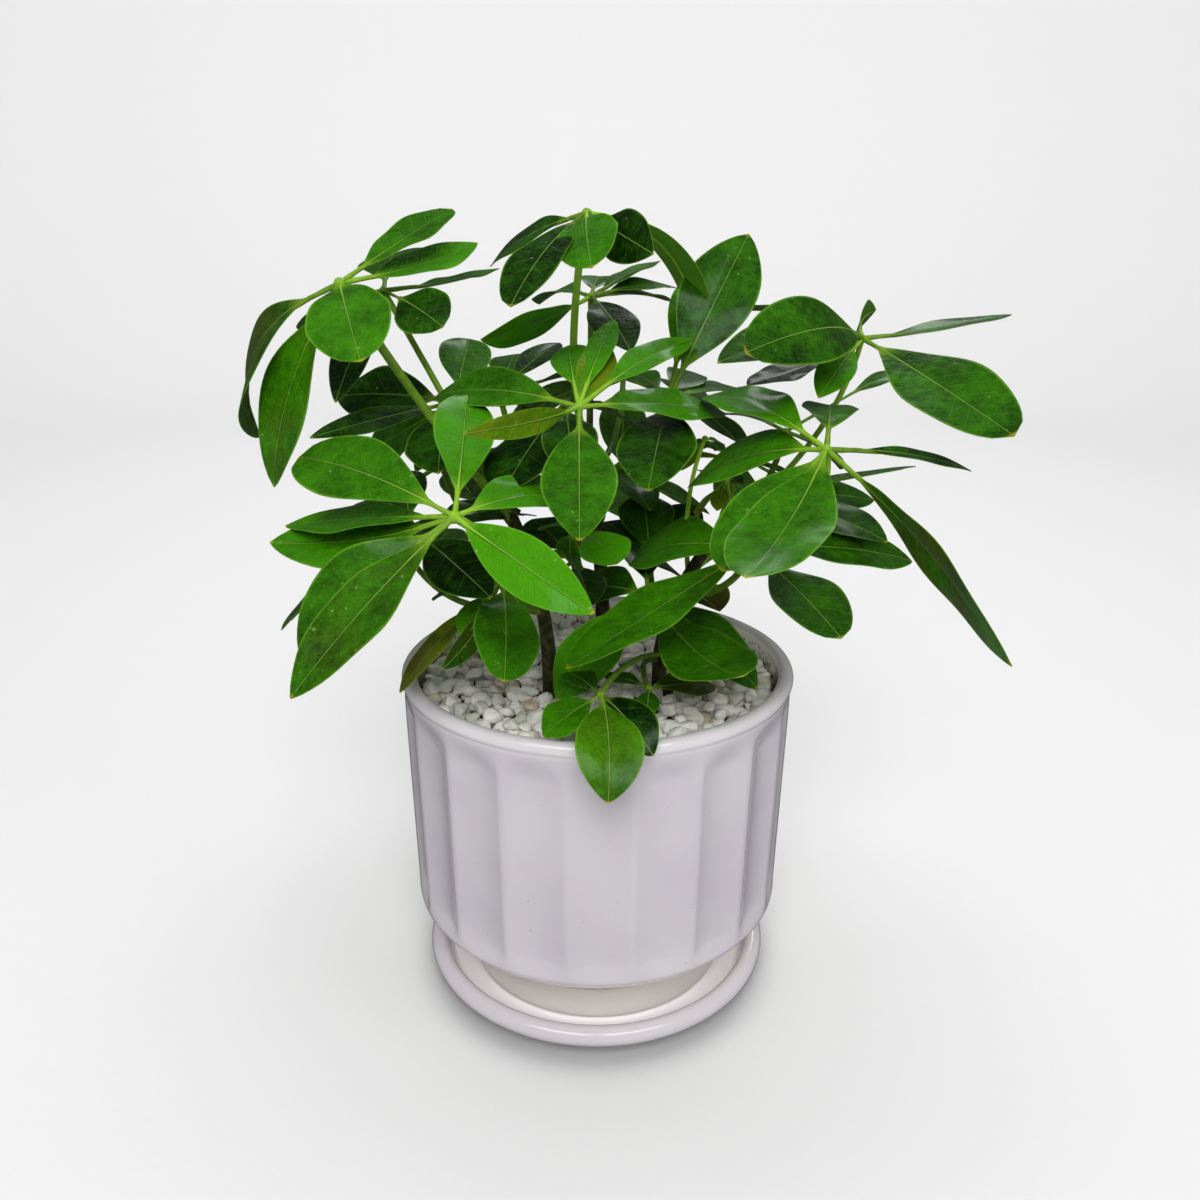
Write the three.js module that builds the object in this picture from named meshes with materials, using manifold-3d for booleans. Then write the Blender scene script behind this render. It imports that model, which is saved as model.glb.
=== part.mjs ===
// A potted umbrella plant: palmate leaf whorls on thin stems, in a fluted glazed pot that is topped
// with pebbles and stands on its saucer. Millimetres, +Z up, the front faces -Y, and the origin is
// the middle of the saucer's flat underside.
import * as THREE from 'three';
import { mergeVertices } from 'three/addons/utils/BufferGeometryUtils.js';
import Module from 'manifold-3d';

const wasm = await Module();
wasm.setup();

// Driving dimensions.
const FIT_GAP = 0.3; // between pieces that rest on or in each other
const POT_RADIUS = 70; // outside of the lip
const POT_TOP = 123.9; // top of the lip, above the table
const LIP_HEIGHT = 4.3; // the smooth band that the flutes run out into
const POT_FOOT_RADIUS = 32; // outside of the foot ring under the pot
const POT_FOOT_WIDTH = 4.5;
const POT_FOOT_RECESS = 2.7; // how far the underside is lifted inside the foot ring
const POT_EDGE_RADIUS = 68; // where the fluted wall turns under
const POT_EDGE_HEIGHT = 36.4;
const BORE_RADIUS = 64.7; // inside of the lip
const BORE_FOOT_RADIUS = 62.6; // inside wall at its foot
const BORE_FOOT_HEIGHT = 42;
const BORE_SLOPE = 5.6; // how far the wall's foot runs in, and
const BORE_SLOPE_HEIGHT = 8.5; // how far down, before it slopes to the floor
const POT_FLOOR_RADIUS = 27;
const POT_FLOOR_HEIGHT = 10.5;
const DRAIN_RADIUS = 5;
const FLUTES = 20;
const FLUTE_DEPTH = 2;
const FLUTE_TURN = 10; // degrees from the front to the first ridge
const COLUMNS_PER_FLUTE = 3;
const SAUCER_WELL_HEIGHT = 3; // floor of the well, which the pot stands on
const SAUCER_BEAD_RADIUS = 61.5; // middle of the rolled bead
const SAUCER_BEAD_HEIGHT = 9.2;
const SAUCER_BEAD_SIZE = 3.5; // radius of the bead's section
const SAUCER_FOOT_RADIUS = 46;
const SAUCER_GROOVE_RADIUS = 56.4; // the groove inside the bead
const SAUCER_RIDGE_RADIUS = 48.4; // the raised step round the well
const SAUCER_WELL_RADIUS = 40;
const SAUCER_SIDES = 36;
const SOIL_TOP = 111.5;
const SOIL_SIDES = 30;
const WALL_GAP = FIT_GAP + 0.15; // from soil and gravel to the pot, whose sides are flat
const GRAVEL_LOW = 114.2; // the hollows between pebbles
const GRAVEL_HIGH = 117.4; // the tops of most pebbles
const GRAVEL_RINGS = 13;
const BLADE_THICKNESS = 0.7;
const STALK_HALF_WIDTH = 0.7; // of a leaflet's own stalk
const BLADE_BELLY = 0.55; // how far along a leaflet is widest
const STEM_ROOT_DEPTH = 40; // how deep a stem stands in the soil
const STEM_SIDES = 6;
const PETIOLE_RADIUS = 1.8;
const PETIOLE_SIDES = 4;

const POT_FOOT_HEIGHT = SAUCER_WELL_HEIGHT + FIT_GAP;
const UP = new THREE.Vector3(0, 0, 1);
const point = (x, y, z) => new THREE.Vector3(x, y, z);
const radians = THREE.MathUtils.degToRad;

// Seeded random numbers from 0 to 1.
function randomFrom(seed) {
  let state = seed;
  return () => {
    state = (state * 1664525 + 1013904223) % 4294967296;
    return state / 4294967296;
  };
}

// ---------------------------------------------------------------- closed skins and solids

// A closed skin through rings of points, each ring counter-clockwise seen from the last one.
// The strips in `flipped` are split along their other diagonal. A looped skin ends where it began.
function skin(rings, { flipped = [], looped = false } = {}) {
  const count = rings[0].length;
  const index = [];
  const rows = looped ? rings.length : rings.length - 1;
  for (let row = 0; row < rows; row += 1) {
    const here = row * count;
    const next = ((row + 1) % rings.length) * count;
    for (let i = 0; i < count; i += 1) {
      const j = (i + 1) % count;
      if (flipped.includes(i)) {
        index.push(here + i, here + j, next + i, here + j, next + j, next + i);
      } else {
        index.push(here + i, here + j, next + j, here + i, next + j, next + i);
      }
    }
  }
  const last = (rings.length - 1) * count;
  for (let i = 1; !looped && i + 1 < count; i += 1) {
    index.push(0, i + 1, i, last, last + i, last + i + 1);
  }
  return indexed(rings.flat(), index);
}

function indexed(points, index) {
  const geometry = new THREE.BufferGeometry();
  const positions = points.flatMap((p) => [p.x, p.y, p.z]);
  geometry.setAttribute('position', new THREE.Float32BufferAttribute(positions, 3));
  geometry.setIndex(index);
  return geometry;
}

function solid(geometry) {
  geometry.deleteAttribute('normal');
  geometry.deleteAttribute('uv');
  const merged = mergeVertices(geometry, 1e-3);
  return new wasm.Manifold(new wasm.Mesh({
    numProp: 3,
    vertProperties: Float32Array.from(merged.attributes.position.array),
    triVerts: Uint32Array.from(merged.index.array),
  }));
}

function geometryOf(manifold) {
  const mesh = manifold.getMesh();
  const geometry = new THREE.BufferGeometry();
  geometry.setAttribute('position', new THREE.BufferAttribute(mesh.vertProperties, 3));
  geometry.setIndex(new THREE.BufferAttribute(mesh.triVerts, 1));
  return geometry;
}

const fuse = (solids) => solids.reduce((sum, next) => sum.add(next));

// A round rod along a curve, tapering from one radius to another.
function rod(curve, steps, sides, startRadius, endRadius) {
  const frames = curve.computeFrenetFrames(steps, false);
  const rings = [];
  for (let step = 0; step <= steps; step += 1) {
    const share = step / steps;
    const centre = curve.getPointAt(share);
    const radius = THREE.MathUtils.lerp(startRadius, endRadius, share);
    const ring = [];
    for (let side = 0; side < sides; side += 1) {
      const angle = (side / sides) * 2 * Math.PI;
      ring.push(centre.clone()
        .addScaledVector(frames.normals[step], Math.cos(angle) * radius)
        .addScaledVector(frames.binormals[step], Math.sin(angle) * radius));
    }
    rings.push(ring);
  }
  return solid(skin(rings));
}

// ---------------------------------------------------------------- pot

// Depth of a flute at a place across it, from 0 on its ridges to 1 in its middle.
function fluteShare(column) {
  const across = ((column % COLUMNS_PER_FLUTE) / COLUMNS_PER_FLUTE) * 2 - 1;
  return 1 - across * across;
}

// The pot's section, from the turned-under edge up the outside, over the lip, down the inside,
// through the drain hole and out along the underside: radius, height, share of the flutes' depth.
function potProfile() {
  const lip = POT_TOP - LIP_HEIGHT;
  const recess = POT_FOOT_HEIGHT + POT_FOOT_RECESS;
  return [
    [POT_EDGE_RADIUS - 0.8, POT_EDGE_HEIGHT - 1.5, 1],
    [POT_EDGE_RADIUS, POT_EDGE_HEIGHT, 1],
    [POT_RADIUS - 0.6, lip - 3, 0.9],
    [POT_RADIUS - 0.7, lip, 0],
    [POT_RADIUS, POT_TOP - 2, 0],
    [POT_RADIUS - 1.2, POT_TOP - 0.4, 0],
    [POT_RADIUS - 2.7, POT_TOP, 0],
    [BORE_RADIUS + 0.6, POT_TOP - 1, 0],
    [BORE_RADIUS, POT_TOP - 3.5, 0],
    [BORE_FOOT_RADIUS, BORE_FOOT_HEIGHT, 0],
    [BORE_FOOT_RADIUS - BORE_SLOPE, BORE_FOOT_HEIGHT - BORE_SLOPE_HEIGHT, 0],
    [POT_FLOOR_RADIUS, POT_FLOOR_HEIGHT, 0],
    [DRAIN_RADIUS, POT_FLOOR_HEIGHT, 0],
    [DRAIN_RADIUS, recess, 0],
    [POT_FOOT_RADIUS - POT_FOOT_WIDTH - 1.5, recess, 0],
    [POT_FOOT_RADIUS - POT_FOOT_WIDTH, POT_FOOT_HEIGHT, 0],
    [POT_FOOT_RADIUS, POT_FOOT_HEIGHT, 0],
    [POT_FOOT_RADIUS + 1.5, POT_FOOT_HEIGHT + 3.5, 0],
    [POT_EDGE_RADIUS - 8, POT_EDGE_HEIGHT - 7.9, 0],
    [POT_EDGE_RADIUS - 1.6, POT_EDGE_HEIGHT - 3, 0.6],
  ];
}

function pot() {
  const columns = FLUTES * COLUMNS_PER_FLUTE;
  const rings = potProfile().map(([radius, height, share]) => {
    const ring = [];
    for (let column = 0; column < columns; column += 1) {
      const angle = radians(FLUTE_TURN - 90) + (column / columns) * 2 * Math.PI;
      const reach = radius - share * FLUTE_DEPTH * fluteShare(column);
      ring.push(point(Math.cos(angle) * reach, Math.sin(angle) * reach, height));
    }
    return ring;
  });
  return skin(rings, { looped: true });
}

// ---------------------------------------------------------------- saucer

function saucer() {
  const profile = [
    [0, 0],
    [SAUCER_FOOT_RADIUS, 0],
    [SAUCER_BEAD_RADIUS + 1.9, SAUCER_BEAD_HEIGHT - 2.9],
    [SAUCER_BEAD_RADIUS + SAUCER_BEAD_SIZE, SAUCER_BEAD_HEIGHT],
    [SAUCER_BEAD_RADIUS + 2.4, SAUCER_BEAD_HEIGHT + 2.6],
    [SAUCER_BEAD_RADIUS, SAUCER_BEAD_HEIGHT + SAUCER_BEAD_SIZE],
    [SAUCER_BEAD_RADIUS - 2.4, SAUCER_BEAD_HEIGHT + 2.3],
    [SAUCER_GROOVE_RADIUS + 1.2, SAUCER_WELL_HEIGHT + 4.6],
    [SAUCER_GROOVE_RADIUS, SAUCER_WELL_HEIGHT + 2.4],
    [SAUCER_GROOVE_RADIUS - 2, SAUCER_WELL_HEIGHT + 1.9],
    [SAUCER_RIDGE_RADIUS + 1.2, SAUCER_WELL_HEIGHT + 1.5],
    [SAUCER_RIDGE_RADIUS, SAUCER_WELL_HEIGHT + 1.8],
    [SAUCER_RIDGE_RADIUS - 1.4, SAUCER_WELL_HEIGHT + 1.2],
    [SAUCER_WELL_RADIUS, SAUCER_WELL_HEIGHT],
    [0, SAUCER_WELL_HEIGHT],
  ];
  const outline = profile.map(([radius, height]) => new THREE.Vector2(radius, height));
  const geometry = new THREE.LatheGeometry(outline, SAUCER_SIDES);
  return geometry.rotateX(Math.PI / 2);
}

// ---------------------------------------------------------------- soil and gravel

const boreRadiusAt = (height) => THREE.MathUtils.mapLinear(
  height, BORE_FOOT_HEIGHT, POT_TOP - 3.5, BORE_FOOT_RADIUS, BORE_RADIUS,
);

// Soil fills the pot from its floor up to the gravel.
function soil() {
  const floor = POT_FLOOR_HEIGHT + FIT_GAP;
  const slope = BORE_FOOT_RADIUS - BORE_SLOPE;
  const profile = [
    [0, floor],
    [POT_FLOOR_RADIUS - WALL_GAP, floor],
    [slope - WALL_GAP, BORE_FOOT_HEIGHT - BORE_SLOPE_HEIGHT + WALL_GAP],
    [BORE_FOOT_RADIUS - WALL_GAP, BORE_FOOT_HEIGHT],
    [boreRadiusAt(SOIL_TOP) - WALL_GAP, SOIL_TOP],
    [0, SOIL_TOP],
  ];
  const outline = profile.map(([radius, height]) => new THREE.Vector2(radius, height));
  const geometry = new THREE.LatheGeometry(outline, SOIL_SIDES).rotateX(Math.PI / 2);
  return geometry.rotateZ(radians(FLUTE_TURN));
}

// The gravel's top is a disc of nested rings of six, twelve, eighteen... points. Every third
// point along them is a pebble's top, and the points around it are the hollows between pebbles.
function gravel() {
  const random = randomFrom(11);
  const bottom = SOIL_TOP + FIT_GAP;
  const rim = boreRadiusAt(GRAVEL_LOW) - WALL_GAP;
  const points = [point(0, 0, GRAVEL_HIGH)];
  const index = [];
  const ringStart = (ring) => (ring === 0 ? 0 : 1 + 3 * ring * (ring - 1));
  const at = (ring, i) => (ring === 0 ? 0 : ringStart(ring) + (i % (6 * ring)));
  for (let ring = 1; ring <= GRAVEL_RINGS; ring += 1) {
    const radius = (ring / GRAVEL_RINGS) * rim;
    for (let i = 0; i < 6 * ring; i += 1) {
      const edge = ring === GRAVEL_RINGS;
      const pebble = !edge && (ring + (i % ring)) % 3 === 0;
      const height = (pebble ? GRAVEL_HIGH : GRAVEL_LOW) + (edge ? 0 : random() * 1.6 - 0.6);
      const shift = edge ? 0 : (random() - 0.5) * 1.4;
      const angle = (i / (6 * ring)) * 2 * Math.PI + shift / radius;
      points.push(point(Math.cos(angle) * radius, Math.sin(angle) * radius, height));
      const sector = Math.floor(i / ring);
      const along = i % ring;
      const inner = sector * (ring - 1) + along;
      index.push(at(ring, i), at(ring, i + 1), at(ring - 1, inner));
      if (along < ring - 1) {
        index.push(at(ring, i + 1), at(ring - 1, inner + 1), at(ring - 1, inner));
      }
    }
  }
  const count = 6 * GRAVEL_RINGS;
  const topEdge = ringStart(GRAVEL_RINGS);
  const bottomEdge = points.length;
  for (let i = 0; i < count; i += 1) {
    const edge = points[topEdge + i];
    points.push(point(edge.x, edge.y, bottom));
  }
  const middle = points.push(point(0, 0, bottom)) - 1;
  for (let i = 0; i < count; i += 1) {
    const j = (i + 1) % count;
    index.push(bottomEdge + i, bottomEdge + j, topEdge + j, bottomEdge + i, topEdge + j, topEdge + i);
    index.push(middle, bottomEdge + j, bottomEdge + i);
  }
  return indexed(points, index);
}

// ---------------------------------------------------------------- stems, petioles and leaves

// Each stem rises straight out of the soil at `foot` and then leans to `top`.
const STEMS = {
  stem_left: { foot: [-17, -10], top: [-30, -2, 178], radius: 2.6 },
  stem_centre: { foot: [2, 15], top: [-4, 20, 196], radius: 2.8 },
  stem_right: { foot: [22, -6], top: [44, -6, 176], radius: 2.6 },
};
const STEM_STRAIGHT_TO = 122; // height up to which every stem is straight

// How each whorl of leaflets grows. `from` is how far up its stem the petiole leaves, `bend` is
// where the petiole turns, `hub` is where the leaflets meet and `faces` is the way they look.
// A leaflet is: turn around the hub, rise above its plane, stalk, length, width, droop from base
// to tip, roll. Angles are in degrees.
const WHORLS = [
  { name: 'front_left', stem: 'stem_centre', from: 0.55, bend: [-16, -36, 166],
    hub: [-40, -65, 193], faces: [-0.2, -0.6, 0.75],
    leaflets: [
      [87, -5, 8, 52, 19, 19, 28],
      [39, -25, 5, 49, 25, 36, -4],
      [309, 12, 4, 51, 16, 25, 21],
      [227, 5, 8, 58, 21, 15, 3],
      [212, -2, 8, 51, 27, 26, -13],
      [171, -20, 10, 53, 21, -28, 3],
      [162, -8, 8, 53, 18, 6, 26],
      [145, 15, 7, 54, 24, 34, 4],
    ] },
  { name: 'front_middle', stem: 'stem_centre', from: 0.7, hub: [-6, -28, 218], faces: [0, -0.55, 0.8],
    leaflets: [
      [152, -7, 8, 52, 21, 30, -2],
      [246, 32, 7, 50, 8, 24, -79],
      [271, 10, 10, 47, 22, 13, 0],
      [75, -6, 1, 37, 13, 7, 17],
      [78, -2, 8, 43, 10, 12, -8],
      [98, -6, 11, 32, 13, 23, -14],
      [49, 0, 12, 44, 15, 19, -11],
      [23, -14, 6, 50, 21, 17, -11],
    ] },
  { name: 'front_right', stem: 'stem_right', from: 0.8, hub: [66, -48, 209], faces: [-0.25, -0.4, 0.88],
    leaflets: [
      [241, -3, 3, 62, 27, -24, 1],
      [222, -6, 4, 46, 26, 5, 1],
      [140, -12, 6, 55, 28, 33, 0],
      [116, 5, 10, 53, 23, 29, 14],
      [76, -9, 12, 38, 18, 30, 12],
      [19, -28, 11, 49, 8, 16, 5],
      [288, 1, 15, 80, 18, -13, 94],
    ] },
  { name: 'upper_right', stem: 'stem_right', from: 0.95, hub: [87, 5, 236], faces: [0.1, -0.3, 0.95],
    leaflets: [
      [237, 26, 9, 60, 24, 47, -33],
      [298, 1, 7, 61, 28, 5, 20],
      [22, 3, 8, 53, 14, -5, -14],
      [82, -6, 9, 38, 12, 27, -87],
      [242, -4, 9, 31, 12, 16, -2],
      [219, -11, 19, 33, 16, -12, 13],
      [211, 10, 8, 52, 23, 25, 3],
      [124, -3, 8, 53, 22, 21, 15],
    ] },
  { name: 'upper_left', stem: 'stem_left', from: 0.95, bend: [-60, 2, 212], hub: [-81, -8, 253],
    faces: [-0.3, -0.45, 0.85],
    leaflets: [
      [285, 10, 1, 49, 26, 24, -8],
      [215, -27, 8, 63, 27, 32, -8],
      [186, -5, 11, 62, 33, 80, -3],
      [50, -5, 9, 44, 18, 4, 8],
      [42, -23, 11, 43, 18, -12, 12],
    ] },
  { name: 'upper_left_back', stem: 'stem_left', from: 0.9, bend: [-57, 14, 222], hub: [-72, 14, 250],
    faces: [-0.1, -0.3, 0.95],
    leaflets: [
      [312, -4, 9, 22, 20, 25, 20],
      [49, -13, 12, 42, 13, -7, -5],
      [95, 4, 8, 45, 24, 19, -6],
      [255, -16, 7, 42, 13, 15, -8],
      [149, -14, 8, 42, 18, 20, 0],
    ] },
  { name: 'top', stem: 'stem_centre', from: 1, bend: [-13, 8, 225], hub: [-4, 0, 274],
    faces: [0.1, -0.4, 0.9],
    leaflets: [
      [269, 12, 4, 40, 20, 21, 27],
      [155, -29, 6, 40, 17, 25, -15],
      [247, 2, 8, 48, 18, 24, 16],
      [30, -11, 6, 63, 22, 79, -18],
      [294, 10, 10, 33, 16, 10, 60],
      [84, -32, 8, 42, 18, 21, 0],
    ] },
  { name: 'top_back', stem: 'stem_centre', from: 0.95, hub: [-3, 45, 247], faces: [0, -0.2, 1],
    leaflets: [
      [228, -10, 8, 43, 18, 14, -124],
      [118, -3, 8, 44, 17, 31, -10],
      [59, 7, 7, 45, 13, 8, -11],
      [47, 1, 9, 42, 15, 18, 5],
      [50, -5, 10, 43, 15, 20, 4],
      [284, 2, 7, 45, 17, 18, 6],
      [85, 4, 8, 36, 15, 19, 0],
    ] },
  { name: 'upper_middle', stem: 'stem_centre', from: 0.85, hub: [24, 8, 216], faces: [0.05, -0.35, 0.93],
    leaflets: [
      [57, 46, 10, 54, 27, 12, 14],
      [80, 28, 12, 46, 12, 24, 19],
      [260, -1, 7, 44, 26, 11, 8],
      [112, -7, 8, 34, 14, 22, -2],
      [72, -6, 7, 34, 15, 18, 7],
      [46, -10, 8, 46, 19, 17, -11],
      [40, -30, 8, 45, 19, 21, -9],
    ] },
  { name: 'middle_left', stem: 'stem_left', from: 0.85, hub: [-51, 22, 212], faces: [-0.1, -0.35, 0.93],
    leaflets: [
      [87, 6, 9, 40, 20, 13, 16],
      [167, 9, 6, 41, 24, 23, -21],
      [171, -28, 8, 36, 22, 2, -28],
      [250, -18, 14, 20, 9, -14, 12],
      [224, 15, 8, 49, 11, 6, -20],
      [268, 12, 9, 41, 26, 24, 12],
    ] },
  { name: 'middle_back', stem: 'stem_centre', from: 0.8, hub: [-37, 48, 212], faces: [0, -0.3, 0.95],
    leaflets: [
      [66, 6, 11, 40, 15, 14, 0],
      [88, 0, 8, 42, 17, 16, -6],
      [130, -29, 8, 42, 18, 23, 0],
      [330, -20, 8, 36, 16, 20, 0],
    ] },
  { name: 'middle', stem: 'stem_centre', from: 0.75, hub: [-11, 2, 215], faces: [0, -0.45, 0.9],
    leaflets: [
      [249, 7, 8, 44, 26, 12, 17],
      [274, 15, 8, 42, 18, 16, 0],
      [127, -22, 8, 40, 17, 22, 0],
      [44, -30, 8, 40, 17, 23, 0],
      [61, -8, 8, 40, 17, 19, 0],
    ] },
  { name: 'young_right', stem: 'stem_right', from: 0.6, hub: [43, -5, 190], faces: [-0.3, -0.2, 0.9],
    leaflets: [
      [232, -25, 2, 9, 7, 19, -3],
      [134, -34, 6, 19, 8, 23, 6],
      [300, -4, 5, 8, 6, 19, -1],
      [63, -13, 4, 10, 5, 20, 1],
    ] },
  { name: 'young_upper', stem: 'stem_right', from: 0.65, hub: [36, 2, 203], faces: [0.3, -0.2, 0.9],
    leaflets: [
      [54, -9, 3, 14, 5, 19, 0],
      [56, -21, 3, 11, 5, 19, 0],
      [93, -44, 4, 20, 7, 22, 0],
      [81, -25, 3, 15, 5, 22, 0],
    ] },
  { name: 'low_right', stem: 'stem_right', from: 0.5, hub: [49, -25, 172], faces: [0.1, -0.3, 0.95],
    leaflets: [
      [147, -15, 6, 48, 26, 39, -17],
      [221, -11, 6, 70, 25, 1, 17],
      [295, 8, 11, 39, 22, 15, 6],
      [6, 7, 10, 47, 22, 24, 5],
      [77, -3, 8, 42, 18, 18, 0],
    ] },
  { name: 'middle_right', stem: 'stem_right', from: 0.7, hub: [55, 12, 181], faces: [0.15, -0.2, 0.95],
    leaflets: [
      [8, 18, 9, 50, 13, 2, -20],
      [14, 6, 8, 41, 18, 15, 13],
      [317, 15, 8, 45, 21, 19, 7],
      [109, -6, 8, 36, 15, 19, 0],
      [256, 9, 8, 39, 17, 17, 0],
    ] },
  { name: 'right_back', stem: 'stem_right', from: 0.85, hub: [69, 34, 200], faces: [0.1, -0.3, 0.95],
    leaflets: [
      [24, 27, 29, 25, 10, 19, -8],
      [99, -37, 8, 41, 17, 24, 0],
      [110, -11, 8, 40, 17, 20, 0],
      [38, -24, 8, 40, 17, 22, 0],
    ] },
  { name: 'low_middle', stem: 'stem_right', from: 0.25, hub: [17, -18, 154], faces: [0, -0.4, 0.9],
    leaflets: [
      [139, -17, 4, 37, 21, 34, -12],
      [295, -1, 8, 56, 26, -43, 2],
      [326, -11, 4, 44, 22, 27, -5],
      [222, -16, 7, 40, 22, 27, 1],
      [54, -28, 9, 47, 24, 35, -28],
      [92, -8, 8, 36, 15, 19, 0],
    ] },
  { name: 'low_left', stem: 'stem_left', from: 0.4, hub: [-32, -22, 160], faces: [-0.1, -0.3, 0.95],
    leaflets: [
      [280, 11, 8, 43, 21, 30, -25],
      [221, -16, 12, 37, 14, 16, 17],
      [256, -3, 15, 27, 9, 29, -75],
      [248, 5, 9, 20, 10, 14, -2],
      [136, -23, 8, 41, 18, 18, -10],
      [302, -7, 2, 13, 7, 19, 0],
    ] },
  { name: 'left', stem: 'stem_left', from: 0.6, hub: [-60, -22, 177], faces: [-0.1, -0.3, 0.95],
    leaflets: [
      [305, 4, 9, 39, 20, 14, 10],
      [44, -11, 8, 39, 17, 18, 8],
      [144, -22, 8, 40, 17, 22, 0],
      [104, 3, 8, 41, 17, 17, 0],
      [124, -4, 8, 40, 17, 19, 0],
    ] },
  { name: 'young_middle', stem: 'stem_centre', from: 0.6, hub: [-8, -22, 179], faces: [0, -0.3, 0.9],
    leaflets: [
      [316, -3, 5, 16, 21, 29, -8],
      [218, -76, 3, 15, 14, 40, -2],
      [64, -9, 8, 24, 10, 20, 0],
      [121, -26, 8, 20, 8, 22, 0],
    ] },
  { name: 'young_rim', stem: 'stem_right', from: 0.1, bend: [8, -30, 137],
    hub: [1, -55, 134], faces: [0, -0.2, 1],
    leaflets: [
      [213, -9, 3, 19, 17, 23, 3],
      [278, 9, 5, 35, 21, 61, -10],
      [300, 11, 2, 26, 16, 55, 14],
      [116, -8, 3, 24, 11, 19, 0],
    ] },
  { name: 'young_low', stem: 'stem_right', from: 0.06, bend: [12, -18, 132],
    hub: [17, -34, 127], faces: [0, 0, 1],
    leaflets: [
      [36, -8, 2, 29, 15, 12, 14],
      [150, 10, 2, 16, 9, 15, 0],
      [265, 0, 2, 15, 8, 20, 0],
    ] },
  { name: 'inner_right', stem: 'stem_right', from: 0.3, hub: [19, 12, 156], faces: [0, -0.4, 0.9],
    leaflets: [
      [92, 9, 6, 34, 22, 18, 0],
      [115, -5, 6, 34, 20, 20, 0],
      [63, 6, 6, 35, 18, 19, 0],
      [42, -40, 6, 34, 18, 22, 0],
    ] },
  { name: 'inner_left', stem: 'stem_centre', from: 0.3, hub: [-9, 16, 155], faces: [0, -0.4, 0.9],
    leaflets: [
      [117, -3, 6, 33, 20, 19, 0],
      [81, 5, 6, 35, 16, 19, 0],
      [135, -48, 6, 34, 18, 22, 0],
      [281, 24, 6, 31, 16, 18, 0],
    ] },
];

// Whorls behind the plant, where leaflets spread evenly round the hub with a little chance.
const BACK_WHORLS = [
  { name: 'back_left', stem: 'stem_left', from: 0.8, hub: [-64, 68, 180] },
  { name: 'back_left_low', stem: 'stem_left', from: 0.45, hub: [-80, 47, 158] },
  { name: 'back_middle', stem: 'stem_centre', from: 0.5, hub: [-6, 84, 176] },
  { name: 'back_upper', stem: 'stem_centre', from: 0.9, hub: [10, 80, 214] },
  { name: 'back_right', stem: 'stem_right', from: 0.75, hub: [58, 66, 184] },
];
const BACK_LEAFLETS = 5;

function backWhorl(whorl, order) {
  const random = randomFrom(101 + order);
  const [x, y] = whorl.hub;
  const leaflets = [];
  for (let i = 0; i < BACK_LEAFLETS; i += 1) {
    const turn = ((i + 0.3 * random()) / BACK_LEAFLETS) * 360;
    const length = 42 + 12 * random();
    leaflets.push([turn, -16 + 12 * random(), 8, length, 0.46 * length, 12 + 20 * random(), 0]);
  }
  return { ...whorl, faces: [x / 200, y / 200, 0.9], leaflets };
}

function curveOf(corners) {
  return new THREE.QuadraticBezierCurve3(...corners);
}

// A stem's centre line above the gravel.
function stemCurve({ foot, top }) {
  const start = point(...foot, STEM_STRAIGHT_TO);
  const bend = point(...foot, THREE.MathUtils.lerp(STEM_STRAIGHT_TO, top[2], 0.5));
  return curveOf([start, bend, point(...top)]);
}

function stemSolid(stem) {
  const bottom = point(...stem.foot, SOIL_TOP - STEM_ROOT_DEPTH);
  const straight = new THREE.LineCurve3(bottom, point(...stem.foot, STEM_STRAIGHT_TO + 1));
  const low = rod(straight, 1, STEM_SIDES, stem.radius, stem.radius);
  const high = rod(stemCurve(stem), 4, STEM_SIDES, stem.radius, stem.radius * 0.75);
  return low.add(high);
}

// The hole that a stem stands in, a little wider and deeper than the stem.
function stemHole({ foot, radius }) {
  const depth = STEM_ROOT_DEPTH + FIT_GAP + 20;
  const hole = new THREE.CylinderGeometry(radius + 0.4, radius + 0.4, depth, STEM_SIDES * 2);
  hole.rotateX(Math.PI / 2);
  hole.translate(...foot, SOIL_TOP - STEM_ROOT_DEPTH - FIT_GAP + depth / 2);
  return solid(hole);
}

// Half of a leaflet's width at a share of its length, as a part of the whole half width.
function bladeShare(along) {
  if (along < BLADE_BELLY) {
    return Math.sin((Math.PI / 2) * (along / BLADE_BELLY)) ** 1.1;
  }
  return Math.cos((Math.PI / 2) * ((along - BLADE_BELLY) / (1 - BLADE_BELLY))) ** 0.75;
}

// One flat ring of a leaflet's skin.
function bladeRing(centre, sideways, normal, halfWidth, thickness) {
  const left = sideways.clone().multiplyScalar(halfWidth);
  const up = normal.clone().multiplyScalar(thickness / 2);
  return [
    centre.clone().add(left).add(up),
    centre.clone().add(left).sub(up),
    centre.clone().sub(left).sub(up),
    centre.clone().sub(left).add(up),
  ];
}

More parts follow.
